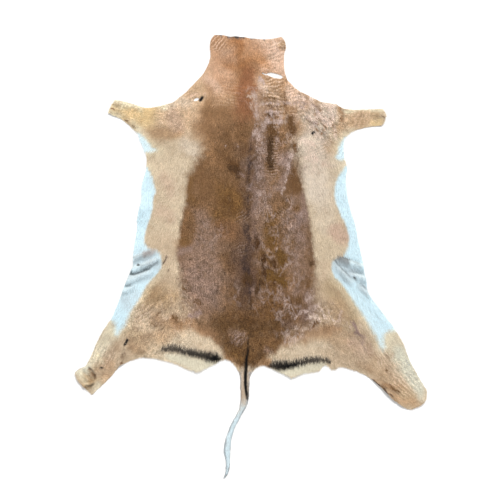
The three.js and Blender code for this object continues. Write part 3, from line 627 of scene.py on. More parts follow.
def is_inside(places, ring):
    ring = np.asarray(ring, float)
    x, y = places.T
    inside = np.zeros(len(places), bool)
    for (ax, ay), (bx, by) in zip(ring, np.roll(ring, -1, 0)):
        if ay == by:
            continue
        crosses = (ay > y) != (by > y)
        inside ^= crosses & (x < ax + (y - ay) / (by - ay) * (bx - ax))
    return inside


def depth_in(places, ring):
    """How deep each place is inside a ring: below 0 outside it."""
    ring = np.asarray(ring, float)
    off = nearest_on(places, np.vstack([ring, ring[:1]]))[0]
    return np.where(is_inside(places, ring), off, -off)


def off_and_width(places, band):
    """How far each place is from a band's middle line, and the width given for the band there."""
    band = np.asarray(band, float)
    off, along = nearest_on(places, band[:, :2])
    return off, np.interp(along, np.arange(len(band)), band[:, 2])


def depth_in_band(places, band):
    """How deep each place is inside a band given by its middle line and half widths."""
    off, half = off_and_width(places, band)
    return half - off


def smooth_bend(three_points):
    """Points along the parabola through three points."""
    a, b, c = np.asarray(three_points, float).reshape(3, 2)
    t = np.linspace(0, 1, BEND_PARTS + 1)[:, None]
    return a * (1 - t) * (1 - 2 * t) + b * 4 * t * (1 - t) + c * t * (2 * t - 1)


def hump(off, half):
    """1 at the middle, 0 from the half width on, and a cosine between."""
    return np.where(off < half, (1 + np.cos(np.pi * off / half)) / 2, 0)


def wander(places, grain, seed):
    """Smooth noise from about -1 to 1 with features about a grain across."""
    return np.array([noise.noise((x / grain, y / grain, seed)) for x, y in places]) * 1.6


# The shape of the skin


def lift(places):
    """How far the skin's underside is off the floor, in millimetres."""
    height = np.zeros(len(places))
    for row in FOLDS:
        half, rise = row[6], row[7:]
        bend = smooth_bend(row[:6])
        near = np.flatnonzero(np.hypot(*(places - bend[BEND_PARTS // 2]).T) < FOLD_REACH)
        off, along = nearest_on(places[near], bend)
        crest = np.interp(along, [0, BEND_PARTS / 2, BEND_PARTS], rise)
        height[near] = np.maximum(height[near], crest * hump(off, half))
    for x, y, reach, rise in LIFTED_EDGES:
        near = np.clip(1 - np.hypot(places[:, 0] - x, places[:, 1] - y) / reach, 0, 1)
        height += rise * near * near
    return height


def tail_height(places):
    """How far the curled tail stands up, with the parting down its upper half."""
    off, width = off_and_width(places, TAIL)
    half = width / 2
    fade = step_between(-places[:, 1], *TAIL_RISES)
    crown = TAIL_CROWN * np.sqrt(half / TAIL_HALF_WIDTH) * np.clip(1 - (off / half) ** 2, 0, 1)
    depth, reach = TAIL_PARTING
    parting = hump(off, reach) * depth
    parting *= 1 - step_between(-places[:, 1], *TAIL_CLOSES)
    return fade * (crown - parting * np.minimum(1, crown))


def hair_side_height(places):
    """How far the hair side is above the underside: the skin, the curl of the tail and the creases."""
    return SKIN + tail_height(places) - CREASE_DEPTH * creased(places)


def rim_loops():
    """The cut edges of the solid seen from above, in millimetres, the outline first and then the holes."""
    mesh = bmesh.new()
    mesh.from_mesh(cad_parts[NODE].data)
    bmesh.ops.remove_doubles(mesh, verts=mesh.verts, dist=1e-6)
    mesh.normal_update()
    rim = {}
    for edge in mesh.edges:
        top = [f for f in edge.link_faces if f.normal.z > FACES_UP]
        wall = [f for f in edge.link_faces if abs(f.normal.z) <= FACES_UP]
        if len(top) == 1 and len(wall) == 1:
            for here, there in (edge.verts, reversed(edge.verts)):
                rim.setdefault(here.index, []).append(there.index)
    places = {v.index: (v.co.x / MM, v.co.y / MM) for v in mesh.verts if v.index in rim}
    mesh.free()
    loops = []
    while rim:
        start = min(rim)
        loop = [start]
        while True:
            onward = [i for i in rim.pop(loop[-1]) if i in rim]
            if not onward:
                break
            loop.append(onward[0])
        loops.append(np.array([places[i] for i in loop]))
    return sorted(loops, key=len, reverse=True)


def finer_loop(loop, step):
    """The loop with points a step apart, rounded through its points but for the corners."""
    before, after = np.roll(loop, 1, 0), np.roll(loop, -1, 0)
    heading_in = np.arctan2(*(loop - before).T[::-1])
    heading_out = np.arctan2(*(after - loop).T[::-1])
    turn = np.abs((heading_out - heading_in + np.pi) % (2 * np.pi) - np.pi)
    tangent = (after - before) / 2
    tangent[turn > CORNER_TURN] = 0
    points = []
    for a, b, leave, arrive in zip(loop, after, tangent, np.roll(tangent, -1, 0)):
        parts = max(1, round(np.hypot(*(b - a)) / step))
        t = (np.arange(parts) / parts)[:, None]
        points.append(
            a * (2 * t**3 - 3 * t**2 + 1)
            + leave * (t**3 - 2 * t**2 + t)
            + b * (3 * t**2 - 2 * t**3)
            + arrive * (t**3 - t**2)
        )
    return np.vstack(points)


def how_far_from(points, places):
    """How far each place is from the nearest of some points."""
    tree = KDTree(len(points))
    for i, (x, y) in enumerate(points):
        tree.insert((x, y, 0), i)
    tree.balance()
    return np.array([tree.find((x, y, 0))[2] for x, y in places])


def field_of_points(loops, rims):
    """Staggered points over the hide, clear of its cut edges."""
    low, high = loops[0].min(0), loops[0].max(0)
    row_step = SKIN_STEP * math.sqrt(3) / 2
    rows = np.arange(low[1], high[1], row_step)
    columns = np.arange(low[0], high[0], SKIN_STEP)
    x, y = np.meshgrid(columns, rows)
    x = x + (np.arange(len(rows)) % 2)[:, None] * SKIN_STEP / 2
    nudge = np.random.default_rng(SEED).uniform(-NUDGE, NUDGE, (x.size, 2)) * SKIN_STEP
    places = np.column_stack([x.ravel(), y.ravel()]) + nudge
    inside = np.zeros(len(places), bool)
    for loop in loops:
        inside ^= is_inside(places, loop)
    places = places[inside]
    return places[how_far_from(rims, places) > RIM_CLEARANCE * RIM_STEP]


def is_open_hole(loop):
    return min(np.hypot(*(np.array(place) - loop.mean(0))) for place in OPEN_HOLES) < HOLE_REACH


def plan_of_skin():
    """The skin's plan: its points, its triangles and its rims as runs of point numbers."""
    loops = rim_loops()
    finer = []
    for i, loop in enumerate(loops):
        middle = loop.mean(0)
        if i and not is_open_hole(loop):
            loop = middle + SMALL_HOLE_SHARE * (loop - middle)
            loops[i] = loop
        edge = finer_loop(loop, RIM_STEP)
        outward = np.roll(edge, -1, 0) - np.roll(edge, 1, 0)
        outward = np.column_stack([outward[:, 1], -outward[:, 0]])
        outward /= np.hypot(*outward.T)[:, None]
        finer.append(edge + RIM_WOBBLE * outward * wander(edge, 11, 3.4)[:, None])
    rims = np.vstack(finer)
    places = np.vstack([rims, field_of_points(finer, rims)])
    found = delaunay_2d_cdt([Vector(p) for p in places], [], [], 0, 1e-5)
    triangles = np.array(found[2])
    middles = places[triangles].mean(1)
    kept = np.zeros(len(middles), bool)
    for edge in finer:
        kept ^= is_inside(middles, edge)
    triangles = triangles[kept]
    a, b, c = (places[triangles[:, i]] for i in range(3))
    turned = (b - a)[:, 0] * (c - a)[:, 1] - (b - a)[:, 1] * (c - a)[:, 0] < 0
    triangles[turned] = triangles[turned][:, ::-1]
    starts = np.cumsum([0] + [len(edge) for edge in finer])
    runs = [np.arange(a, b) for a, b in zip(starts[:-1], starts[1:])]
    return places, triangles, runs


# Colour laid on the plan of the hide


def linear(colour):
    """An sRGB colour from 0 to 255 as Blender's linear one."""
    c = np.asarray(colour, float) / 255
    return np.where(c <= 0.04045, c / 12.92, ((c + 0.055) / 1.055) ** 2.4)


def laid_on(places, table, reach):
    """The strokes of a table one by one: the tone of each, and how strongly it covers each place."""
    for tone, *strokes in table:
        for x0, y0, x1, y1, half, strength in strokes:
            off = nearest_on(places, [(x0, y0), (x1, y1)])[0]
            share = strength * (1 - step_between(off, CORE * half, reach * half))
            yield np.array(PALETTE[tone], float), share


def painted(places, ground, washes):
    """The colour at each place of a ground tone with soft clouds laid over it."""
    seen = np.tile(np.array(PALETTE[ground], float), (len(places), 1))
    for tone, share in laid_on(places, washes, WASH_REACH):
        seen += share[:, None] * (tone - seen)
    return linear(seen)


def softened(depth, soft):
    """1 well inside a zone, -1 well outside it and 0 on its edge."""
    return np.clip(depth / soft, -1, 1)


def band_shifted(band, up, wider):
    return [(x, y + up, max(half + wider, 0.5)) for x, y, half in band]


def drift(places, amount, grain, seed):
    """The places moved about smoothly, so that what is laid on them gets natural edges."""
    moved = [wander(places, grain, seed + i) for i in (0.0, 4.7)]
    return places + amount * np.column_stack(moved)


def colour_fields(places):
    x, y = places.T
    loose = drift(drift(places, 9, 48, 1.3), 4, 17, 2.9)
    fields = {
        "side": painted(loose, "flank", SIDE_WASHES),
        "back": painted(loose, "saddle", BACK_WASHES),
        "white": painted(places, "belly", BELLY_WASHES),
    }

    soft = np.where(y > 190, 9 + 0.22 * (y - 190), np.where(y < -10, 8 + 0.16 * (-10 - y), 8))
    near_tail = step_between(-y, 205, 240)
    soft = np.minimum(soft, 40) * (1 - near_tail) + 12 * near_tail
    shape = drift(places, 3, 26, 6.1)
    fields["saddle"] = softened(depth_in(shape, SADDLE), soft)
    soft = np.where(y < -60, 3.5 + 0.04 * (-60 - y), 3.5)
    belly = np.max([depth_in(places, ring) for ring in BELLY.values()], 0)
    fields["belly"] = softened(belly, soft)
    low_or_high = np.maximum(step_between(y, 205, 250), step_between(-y, 20, 60))
    paler = 0.5 * low_or_high * (1 - step_between(-belly, 0, 26))
    fields["side"] += paler[:, None] * (linear(PALETTE["straw"]) - fields["side"])
    cream = np.maximum(depth_in_band(places, CREAM), depth_in_band(places, CREAM_RIGHT))
    fields["cream"] = softened(cream, 7)

    black = [depth_in_band(places, band_shifted(band, -0.2, -0.6)) for band in BANDS.values()]
    smoke = [depth_in_band(places, band_shifted(band, 2.6, 1.2)) for band in BANDS.values()]
    fields["ink"] = np.interp(x, *zip(*INK))
    fields["smoke"] = softened(np.max(smoke, 0), 10)
    fields["black"] = softened(np.max(black, 0), 9)
    fields["dorsal"] = softened(depth_in_band(places, DORSAL_LINE), 1.6)

    off, width = off_and_width(places, TAIL)
    on_tail = off < TAIL_REACH
    fields["tail"] = np.where(on_tail, softened(-y - 306, 16), -1)
    fields["tail_white"] = np.where(on_tail, softened(-y - 404 + 0.6 * (x + 20), 30), -1)
    # Painted shade: grey along the sides of the curled tail; grey over its tip too.
    rim = np.where(on_tail & (y < -312), softened(2 * off / width - 0.78, 0.3), -1)
    fields["tail_rim_shade"] = np.maximum(rim, np.where(on_tail, softened(-y - 588, 6), -1))

    mark = np.zeros(len(places))
    mark_colour = np.tile(np.array(PALETTE["light"], float), (len(places), 1))
    torn = drift(places, 4, 15, 8.2)
    for tone, share in laid_on(torn, MARKS, MARK_REACH):
        mark_colour[share > mark] = tone
        mark = np.maximum(mark, share)
    fields["mark"] = mark
    fields["mark_colour"] = linear(mark_colour)
    fields["ruffled"] = in_spots(places, RUFFLED)
    fields["rough"] = np.maximum(in_spots(places, ROUGH), SMOOTHEST)
    # The crease depth also sets the painted shade in the creases and shorter hair there.
    fields["crease"] = creased(places)
    fields["rippled"], fields["ripple"] = rippled(places)
    return fields


def black_spot_depth(places):
    """How far inside the nearest black spot each place is."""
    return np.max([half - nearest_on(places, [(a, b), (c, d)])[0] for a, b, c, d, half in BLACK_SPOTS], 0)


def in_spots(places, spots):
    """How far inside the strongest of some soft spots each place is."""
    x, y = places.T
    offs = (np.hypot(x - a, y - b) for a, b, _, _ in spots)
    shares = (s * (1 - step_between(off, 0.5 * r, 1.2 * r)) for off, (_, _, r, s) in zip(offs, spots))
    return np.max(list(shares), 0)


def rippled(places):
    """How rippled the coat is at each place, and the way across the ripples, as long as they are close."""
    strength = np.zeros(len(places))
    across = np.zeros((len(places), 3))
    for x, y, radius, heading, apart, strongest in RIPPLES:
        off = np.hypot(places[:, 0] - x, places[:, 1] - y)
        here = strongest * (1 - step_between(off, 0.4 * radius, 1.1 * radius))
        turn = math.radians(heading)
        across[here > strength] = np.array([math.cos(turn), math.sin(turn), 0]) / (apart * MM)
        strength = np.maximum(strength, here)
    return strength, across


def creased(places):
    """How deep in a crease each place is, from 0 to 1."""
    depth = np.zeros(len(places))
    for row in CREASES:
        half, strength = row[6:]
        off, along = nearest_on(places, smooth_bend(row[:6]))
        tapered = strength * np.clip(2.4 * np.sin(np.pi * along / BEND_PARTS), 0, 1)
        depth = np.maximum(depth, tapered * (1 - step_between(off, 0.2 * half, 1.5 * half)))
    return depth


def combed(places):
    """Which way the hair lies at each place, as flat unit vectors."""
    total = np.zeros((len(places), 2))
    for x, y, reach, heading in COMBING:
        weight = np.exp(-(((places[:, 0] - x) ** 2 + (places[:, 1] - y) ** 2) / reach**2)) + 1e-9
        angle = math.radians(heading)
        total += weight[:, None] * np.array([math.cos(angle), math.sin(angle)])
    angle = np.arctan2(total[:, 1], total[:, 0])
    angle = angle + 0.22 * wander(places, 70, 5) + 0.16 * wander(places, 22, 9)
    return np.column_stack([np.cos(angle), np.sin(angle)])


# Meshes


def new_mesh(name, vertices, faces):
    """A mesh of triangles."""
    mesh = bpy.data.meshes.new(name)
    mesh.vertices.add(len(vertices))
    mesh.vertices.foreach_set("co", np.asarray(vertices, np.float32).ravel())
    mesh.loops.add(3 * len(faces))
    mesh.loops.foreach_set("vertex_index", np.asarray(faces, np.int32).ravel())
    mesh.polygons.add(len(faces))
    mesh.polygons.foreach_set("loop_start", np.arange(0, 3 * len(faces), 3, dtype=np.int32))
    mesh.update(calc_edges=True)
    mesh.validate()
    return mesh


def new_object(name, mesh):
    obj = bpy.data.objects.new(name, mesh)
    bpy.context.scene.collection.objects.link(obj)
    return obj


def values_of(items, key, kind=np.float32, each=1):
    """One kind of value of all the vertices, corners or faces of a mesh."""
    values = np.empty(each * len(items), kind)
    items.foreach_get(key, values)
    return values.reshape(-1, each) if each > 1 else values


def store(mesh, name, values):
    """Keeps a number or a vector for each vertex under a name."""
    values = np.asarray(values, np.float32)
    kind, key = ("FLOAT_VECTOR", "vector") if values.ndim == 2 else ("FLOAT", "value")
    mesh.attributes.new(name, kind, "POINT").data.foreach_set(key, values.ravel())


def store_coat(mesh, places, heights, fields, comb):
    for name, values in fields.items():
        store(mesh, name, values)
    root = np.column_stack([places, heights]) * MM
    store(mesh, "root", root)
    store(mesh, "comb", np.column_stack([comb, np.zeros(len(comb))]))


def make_skin(plan, fields, comb):
    """The tanned skin: the hair side, the flesh side a skin's thickness below, and the cut edges."""
    places, triangles, runs = plan
    count = len(places)
    below = lift(places)
    above = below + hair_side_height(places)
    vertices = np.vstack([np.column_stack([places, above]), np.column_stack([places, below])]) * MM
    rims = []
    for run in runs:
        ring = places[run]
        area = np.sum(ring[:, 0] * np.roll(ring[:, 1], -1) - ring[:, 1] * np.roll(ring[:, 0], -1))
        skin_on_left = (area > 0) == (run is runs[0])
        a, b = (run, np.roll(run, -1)) if skin_on_left else (np.roll(run, -1), run)
        rims.append(np.column_stack([a, count + a, count + b]))
        rims.append(np.column_stack([a, count + b, b]))
    rim_faces = np.vstack(rims)
    flesh = triangles[:, ::-1] + count
    mesh = new_mesh("skin", vertices, np.vstack([triangles, flesh, rim_faces]))
    index = np.repeat([0, 1, 2], [len(triangles), len(flesh), len(rim_faces)])
    mesh.polygons.foreach_set("material_index", index.astype(np.int32))
    mesh.polygons.foreach_set("use_smooth", index < 2)
    doubled = {name: np.concatenate([v, v]) for name, v in fields.items()}
    twice = [np.concatenate([v, v]) for v in (places, above, comb)]
    store_coat(mesh, twice[0], twice[1], doubled, twice[2])
    lay_out_map(mesh)
    return new_object("skin", mesh)


def lay_out_map(mesh):
    """A flat map: the hair side as seen from above, and the flesh side and the cut edges beside it."""
    low, high = (np.array(corner[:2]) for corner in cad_box)
    span = max(high - low) * 1.04
    corners = values_of(mesh.loops, "vertex_index", np.int32)
    index = values_of(mesh.polygons, "material_index", np.int32)
    flat = (values_of(mesh.vertices, "co", each=3)[corners, :2] - (low + high) / 2) / span + 0.5
    shift = np.repeat(index > 0, 3)
    flat[:, 0] = flat[:, 0] / 2 + 0.5 * shift
    mesh.uv_layers.new(name="OFBake").data.foreach_set("uv", flat.astype(np.float32).ravel())


# Node trees


class Tree:
    """Adds nodes and links to one node tree."""

    def __init__(self, tree):
        self.nodes = tree.nodes
        self.links = tree.links
        self.tree = tree

    def add(self, kind, inputs=(), **settings):
        """A node with its settings, and its inputs set or linked by name or number."""
        node = self.nodes.new(kind)
        for key, value in settings.items():
            setattr(node, key, value)
        for key, value in dict(inputs).items():
            self.put(node.inputs[key], value)
        return node

    def put(self, socket, value):
        if isinstance(value, bpy.types.NodeSocket):
            self.links.new(value, socket)
        else:
            socket.default_value = value

    def maths(self, operation, a, b=0.0, c=0.0):
        return self.add("ShaderNodeMath", {0: a, 1: b, 2: c}, operation=operation).outputs[0]

    def times(self, a, b):
        return self.maths("MULTIPLY", a, b)

    def times_plus(self, a, b, c):
        return self.maths("MULTIPLY_ADD", a, b, c)

    def less(self, a, b):
        return self.maths("SUBTRACT", a, b)

    def vectors(self, operation, a, b=(0, 0, 0)):
        return self.add("ShaderNodeVectorMath", {0: a, 1: b}, operation=operation).outputs[0]

    def scaled(self, vector, share):
        return self.add("ShaderNodeVectorMath", {0: vector, 3: share}, operation="SCALE").outputs[0]

    def mix(self, share, a, b, blend="MIX"):
        """Colour a turning to colour b."""
        inputs = {"Factor": share, 6: a, 7: b}
        return self.add("ShaderNodeMix", inputs, data_type="RGBA", blend_type=blend).outputs[2]

    def noise(self, place, grain, detail=2.0, roughness=0.5):
        """Noise from 0 to 1 with features about a grain across, in metres."""
        inputs = {"Vector": place, "Scale": 1 / grain, "Detail": detail, "Roughness": roughness}
        return self.add("ShaderNodeTexNoise", inputs).outputs[0]

    def spread(self, value, low, high, to_low=0.0, to_high=1.0):
        """A value's range turned smoothly into another."""
        inputs = {0: value, 1: low, 2: high, 3: to_low, 4: to_high}
        return self.add("ShaderNodeMapRange", inputs, interpolation_type="SMOOTHSTEP").outputs[0]

    def field(self, name):
        return self.add("ShaderNodeAttribute", attribute_name=name).outputs["Fac"]

    def place(self, name):
        return self.add("ShaderNodeAttribute", attribute_name=name).outputs["Vector"]


def new_group(name, inputs, outputs):
    """A shader node group with named sockets, and its tree, input node and output node."""
    group = bpy.data.node_groups.new(name, "ShaderNodeTree")
    for in_out, sockets in (("INPUT", inputs), ("OUTPUT", outputs)):
        for socket, kind in sockets.items():
            group.interface.new_socket(socket, in_out=in_out, socket_type=kind)
    tree = Tree(group)
    entry = tree.add("NodeGroupInput")
    leave = tree.add("NodeGroupOutput")
    return group, tree, entry, leave


def use_group(tree, group, inputs):
    node = tree.add("ShaderNodeGroup", node_tree=group)
    for key, value in inputs.items():
        tree.put(node.inputs[key], value)
    return node


def colour(name):
    """A palette colour for a socket."""
    return (*linear(PALETTE[name]), 1.0)


def ragged_edge_group():
    """Turns a zone's field, from -1 outside to 1 inside, into a mask whose edge wanders between them."""
    group, tree, entry, leave = new_group(
        "ragged edge",
        {
            "Field": "NodeSocketFloat",
            "Place": "NodeSocketVector",
            "Grain": "NodeSocketFloat",
            "Wander": "NodeSocketFloat",
            "Softness": "NodeSocketFloat",
        },
        {"Mask": "NodeSocketFloat"},
    )
    field = entry.outputs["Field"]
    scale = tree.maths("DIVIDE", 1.0, entry.outputs["Grain"])
    inputs = {"Vector": entry.outputs["Place"], "Scale": scale, "Detail": 3.0}
    wave = tree.add("ShaderNodeTexNoise", inputs).outputs[0]
    wave = tree.times(tree.less(wave, 0.5), entry.outputs["Wander"])
    near_edge = tree.spread(tree.maths("ABSOLUTE", field), 1.0, 0.8)
    moved = tree.times_plus(wave, near_edge, field)
    depth = tree.maths("DIVIDE", moved, entry.outputs["Softness"])
    tree.put(leave.inputs["Mask"], tree.spread(depth, -1.0, 1.0))
    return group


def ruffle_group():
    """A net of pale ridges and the hollows between them, where the coat was stroked the wrong way: painted
    highlights on the ridges and painted shade in the hollows.
    """
    group, tree, entry, leave = new_group(
        "ruffled net",
        {"Place": "NodeSocketVector", "Mesh Size": "NodeSocketFloat"},
        {"Ridge Highlight": "NodeSocketFloat", "Hollow Shade": "NodeSocketFloat"},
    )
    place = entry.outputs["Place"]
    bend = tree.add("ShaderNodeTexNoise", {"Vector": place, "Scale": 45.0, "Detail": 2.0}).outputs["Color"]
    bend = tree.scaled(tree.vectors("SUBTRACT", bend, (0.5, 0.5, 0.5)), 0.05)
    bent = tree.vectors("ADD", place, bend)
    scale = tree.maths("DIVIDE", 1.0, entry.outputs["Mesh Size"])
    inputs = {"Vector": bent, "Scale": scale}
    cells = tree.add("ShaderNodeTexVoronoi", inputs, feature="DISTANCE_TO_EDGE").outputs["Distance"]
    gaps = tree.noise(place, 0.03, 3.0)
    ridge = tree.times(tree.spread(cells, 0.02, 0.2, 1.0, 0.0), tree.spread(gaps, 0.42, 0.58))
    hollow = tree.times(tree.spread(cells, 0.12, 0.4), tree.spread(gaps, 0.62, 0.45))
    tree.put(leave.inputs["Ridge Highlight"], ridge)
    tree.put(leave.inputs["Hollow Shade"], hollow)
    return group


def coat_colour_group(ragged, ruffle):
    """The coat's colour at a place on the hide, with painted highlights and shade on ruffled and rippled hair
    and painted shade in creases, and how speckled the hair is there.
    """
    group, tree, entry, leave = new_group(
        "coat colour",
        {"Place": "NodeSocketVector"},
        {"Colour": "NodeSocketColor", "Speckle": "NodeSocketFloat"},
    )
    place = entry.outputs["Place"]
    upright = tree.vectors("MULTIPLY", place, (1.0, 0.35, 1.0))

    def mask(field, grain=0.02, wander=1.6, at=place, softness=1.0):
        inputs = {"Field": tree.field(field), "Place": at, "Grain": grain, "Wander": wander}
        return use_group(tree, ragged, {**inputs, "Softness": softness}).outputs["Mask"]

    smudges = tree.noise(tree.vectors("ADD", place, (0.3, 0.1, 0.7)), 0.024, 4.0, 0.6)
    specks = tree.noise(tree.vectors("ADD", place, (0.7, 0.4, 0.2)), 0.006, 3.0, 0.6)
    stretched = tree.vectors("MULTIPLY", place, (1.0, 0.75, 1.0))
    net = use_group(tree, ruffle, {"Place": stretched, "Mesh Size": 0.024})
    ruffled = tree.field("ruffled")

    saddle = mask("saddle", 0.011, 1.3)
    seen = tree.mix(saddle, tree.place("side"), tree.place("back"))
    rough = tree.field("rough")
    clumps = tree.noise(tree.vectors("ADD", place, (0.5, 0.9, 0.3)), 0.009, 3.0, 0.6)
    blotch = tree.less(tree.times_plus(clumps, 1.1, smudges), 1.05)
    seen = tree.scaled(seen, tree.times_plus(tree.times(blotch, rough), 1.25, 1.0))
    seen = tree.mix(tree.times(tree.spread(smudges, 0.46, 0.3), 0.22), seen, colour("tan"))
    flecks = tree.noise(tree.vectors("ADD", place, (0.2, 0.6, 0.8)), 0.0085, 2.0, 0.7)
    fleck = tree.times(tree.spread(flecks, 0.6, 0.74), tree.times(rough, 0.45))
    seen = tree.mix(fleck, seen, tree.scaled(seen, 0.42))
    # Painted shade in the hollows of the ruffled net, and painted highlights on its ridges.
    hollow = tree.times(net.outputs["Hollow Shade"], tree.times(ruffled, 0.6))
    seen = tree.mix(hollow, seen, tree.mix(saddle, colour("fawn"), colour("honey")))
    ridge = tree.times(net.outputs["Ridge Highlight"], tree.times(ruffled, 0.66))
    seen = tree.mix(ridge, seen, tree.mix(saddle, colour("frost"), colour("light")))

    # Painted highlights on the crests of the ripples; the wave also makes painted light and shade across them
    # below.
    rippled = tree.field("rippled")
    passed = tree.add("ShaderNodeVectorMath", {0: place, 1: tree.place("ripple")}, operation="DOT_PRODUCT")
    wavering = tree.times_plus(tree.less(smudges, 0.5), 3.0, passed.outputs["Value"])
    wave = tree.maths("SINE", tree.times(wavering, 2 * math.pi))
    crest = tree.times(tree.spread(wave, 0.3, 0.95), tree.times(rippled, 0.42))
    seen = tree.mix(crest, seen, tree.mix(saddle, colour("frost"), colour("light")))

    mark = tree.field("mark")
    torn = tree.times_plus(tree.less(smudges, 0.5), 1.1, mark)
    torn = tree.times_plus(tree.less(specks, 0.5), 1.3, torn)
    share = tree.times(tree.spread(torn, 0.15, 0.75), tree.spread(mark, 0.0, 0.4))
    seen = tree.mix(share, seen, tree.place("mark_colour"))

    seen = tree.mix(mask("cream", 0.02), seen, colour("cream"))
    belly = mask("belly", 0.007, 1.3)
    seen = tree.mix(belly, seen, tree.place("white"))
    seen = tree.mix(mask("tail", 0.02), seen, colour("tail"))
    streaks = tree.noise(tree.vectors("MULTIPLY", place, (1.0, 0.14, 1.0)), 0.005, 2.0)
    streak = tree.times(mask("tail", 0.02), tree.spread(streaks, 0.5, 0.64, 0.0, 0.35))
    seen = tree.mix(streak, seen, colour("umber"))
    white_tail = mask("tail_white", 0.01)
    seen = tree.mix(white_tail, seen, colour("tail_tip"))
    # Painted shade along the sides of the curled tail, and grey over its tip.
    seen = tree.mix(tree.times(mask("tail_rim_shade", 0.02, 2.4), 0.75), seen, colour("grey"))
    seen = tree.mix(tree.times(mask("smoke", 0.0042, 1.8, upright, 0.35), 0.8), seen, colour("smoke"))
    black = tree.times(mask("black", 0.0042, 1.5, upright, 0.3), tree.field("ink"))
    seen = tree.mix(black, seen, colour("black"))
    seen = tree.mix(mask("dorsal", 0.006, 1.2), seen, colour("black"))
    # Black spots painted round the small holes.
    seen = tree.mix(mask("black_spot", 0.004, 0.8), seen, colour("black"))
    # Painted shade: the colour darker in the creases, and lighter and darker across the ripples.
    shaded = tree.times_plus(tree.field("crease"), -0.62, 1.0)
    shaded = tree.times_plus(tree.times(wave, rippled), 0.2, shaded)
    tree.put(leave.inputs["Colour"], tree.scaled(seen, shaded))
    pale = tree.maths("MAXIMUM", belly, white_tail)
    speckle = tree.times_plus(saddle, 0.3, tree.times(rough, 1.0))
    speckle = tree.times(speckle, tree.times_plus(pale, -0.6, 1.0))
    tree.put(leave.inputs["Speckle"], speckle)
    return group


def speckled_group():
    """Lightens and darkens a colour, more in its blue than in its red, as banded hair does."""
    group, tree, entry, leave = new_group(
        "speckled",
        {"Colour": "NodeSocketColor", "Strength": "NodeSocketFloat"},
        {"Colour": "NodeSocketColor"},
    )
    strength = entry.outputs["Strength"]
    powers = [tree.maths("POWER", strength, power) for power in (1.0, 1.12, 1.26)]
    tint = tree.add("ShaderNodeCombineXYZ", dict(enumerate(powers))).outputs[0]
    tree.put(leave.inputs["Colour"], tree.vectors("MULTIPLY", entry.outputs["Colour"], tint))
    return group


def new_material(name):
    material = bpy.data.materials.new(name)
    material.use_nodes = True
    material.node_tree.nodes.clear()
    tree = Tree(material.node_tree)
    surface = tree.add("ShaderNodeBsdfPrincipled")
    out = tree.add("ShaderNodeOutputMaterial")
    tree.put(out.inputs["Surface"], surface.outputs[0])
    return material, tree, surface


def roughened(tree, surface, height, distance, roughness):
    """Sets a surface's roughness and its fine relief."""
    bump = tree.add("ShaderNodeBump", {"Height": height, "Distance": distance})
    tree.put(surface.inputs["Normal"], bump.outputs[0])
    surface.inputs["Roughness"].default_value = roughness


def hair_material(coat_colour, speckled):
    """One lock: the coat's colour where it grows, with its own random tone, banded, and darker towards its
    root as painted shade of the locks above it.
    """
    material, tree, surface = new_material("hair")
    here = tree.add("ShaderNodeTexCoord").outputs["Object"]
    between = tree.vectors("ADD", tree.scaled(tree.place("root"), 0.3), tree.scaled(here, 0.7))
    tones = use_group(tree, coat_colour, {"Place": between})
    speckle = tones.outputs["Speckle"]
    bands = tree.less(tree.noise(here, 0.0032, 2.0, 0.7), 0.5)
    tufts = tree.less(tree.noise(tree.place("root"), 0.0075, 3.0, 0.65), 0.5)
    own = tree.times(tree.times(tree.field("shade"), 0.2), speckle)
    own = tree.times_plus(tree.times(bands, 2.7), speckle, own)
    own = tree.times_plus(tree.times(tufts, 0.9), speckle, own)
    own = tree.add("ShaderNodeClamp", {0: tree.maths("ADD", own, 1.04), 1: 0.35, 2: 1.6}).outputs[0]
    # Painted shade: each lock darker towards its root, where the locks above it shade it.
    own = tree.times(own, tree.spread(tree.field("along"), 0.0, 1.0, 0.84, 1.06))
    seen = use_group(tree, speckled, {"Colour": tones.outputs["Colour"], "Strength": own})
    tree.put(surface.inputs["Base Color"], seen.outputs[0])
    surface.inputs["Roughness"].default_value = 0.62
    surface.inputs["Specular IOR Level"].default_value = 0.09
    return material


def under_coat_material(coat_colour, speckled):
    """The hair side of the skin, which shows only between the locks."""
    material, tree, surface = new_material("under coat")
    place = tree.place("root")
    tones = use_group(tree, coat_colour, {"Place": place})
    down = tree.noise(place, 0.002, 3.0)
    dim = tree.spread(down, 0.3, 0.7, 0.65, 0.9)
    seen = use_group(tree, speckled, {"Colour": tones.outputs["Colour"], "Strength": dim})
    tree.put(surface.inputs["Base Color"], seen.outputs[0])
    roughened(tree, surface, down, 0.0006, 0.9)
    return material


def flesh_material(name, dark_share):
    """The flesh side: tanned suede, paler and darker in patches, with fine veins and nap."""
    material, tree, surface = new_material(name)
    place = tree.add("ShaderNodeTexCoord").outputs["Object"]
    clouds = tree.noise(place, 0.12, 4.0, 0.6)
    nap = tree.noise(place, 0.0014, 3.0, 0.7)
    veins = tree.add(
        "ShaderNodeTexVoronoi", {"Vector": place, "Scale": 16.0}, feature="DISTANCE_TO_EDGE"
    ).outputs[0]
    dark = tree.spread(clouds, 0.35, 0.7, dark_share, dark_share + 0.6)
    seen = tree.mix(dark, colour("flesh"), colour("flesh_dark"))
    seen = tree.mix(tree.spread(veins, 0.0, 0.05, 0.35, 0.0), seen, colour("flesh_dark"))
    seen = tree.mix(tree.spread(nap, 0.3, 0.7, 0.0, 0.25), seen, colour("flesh_nap"))
    tree.put(surface.inputs["Base Color"], seen)
    roughened(tree, surface, nap, 0.0004, 0.88)
    return material


# The coat, grown by geometry nodes


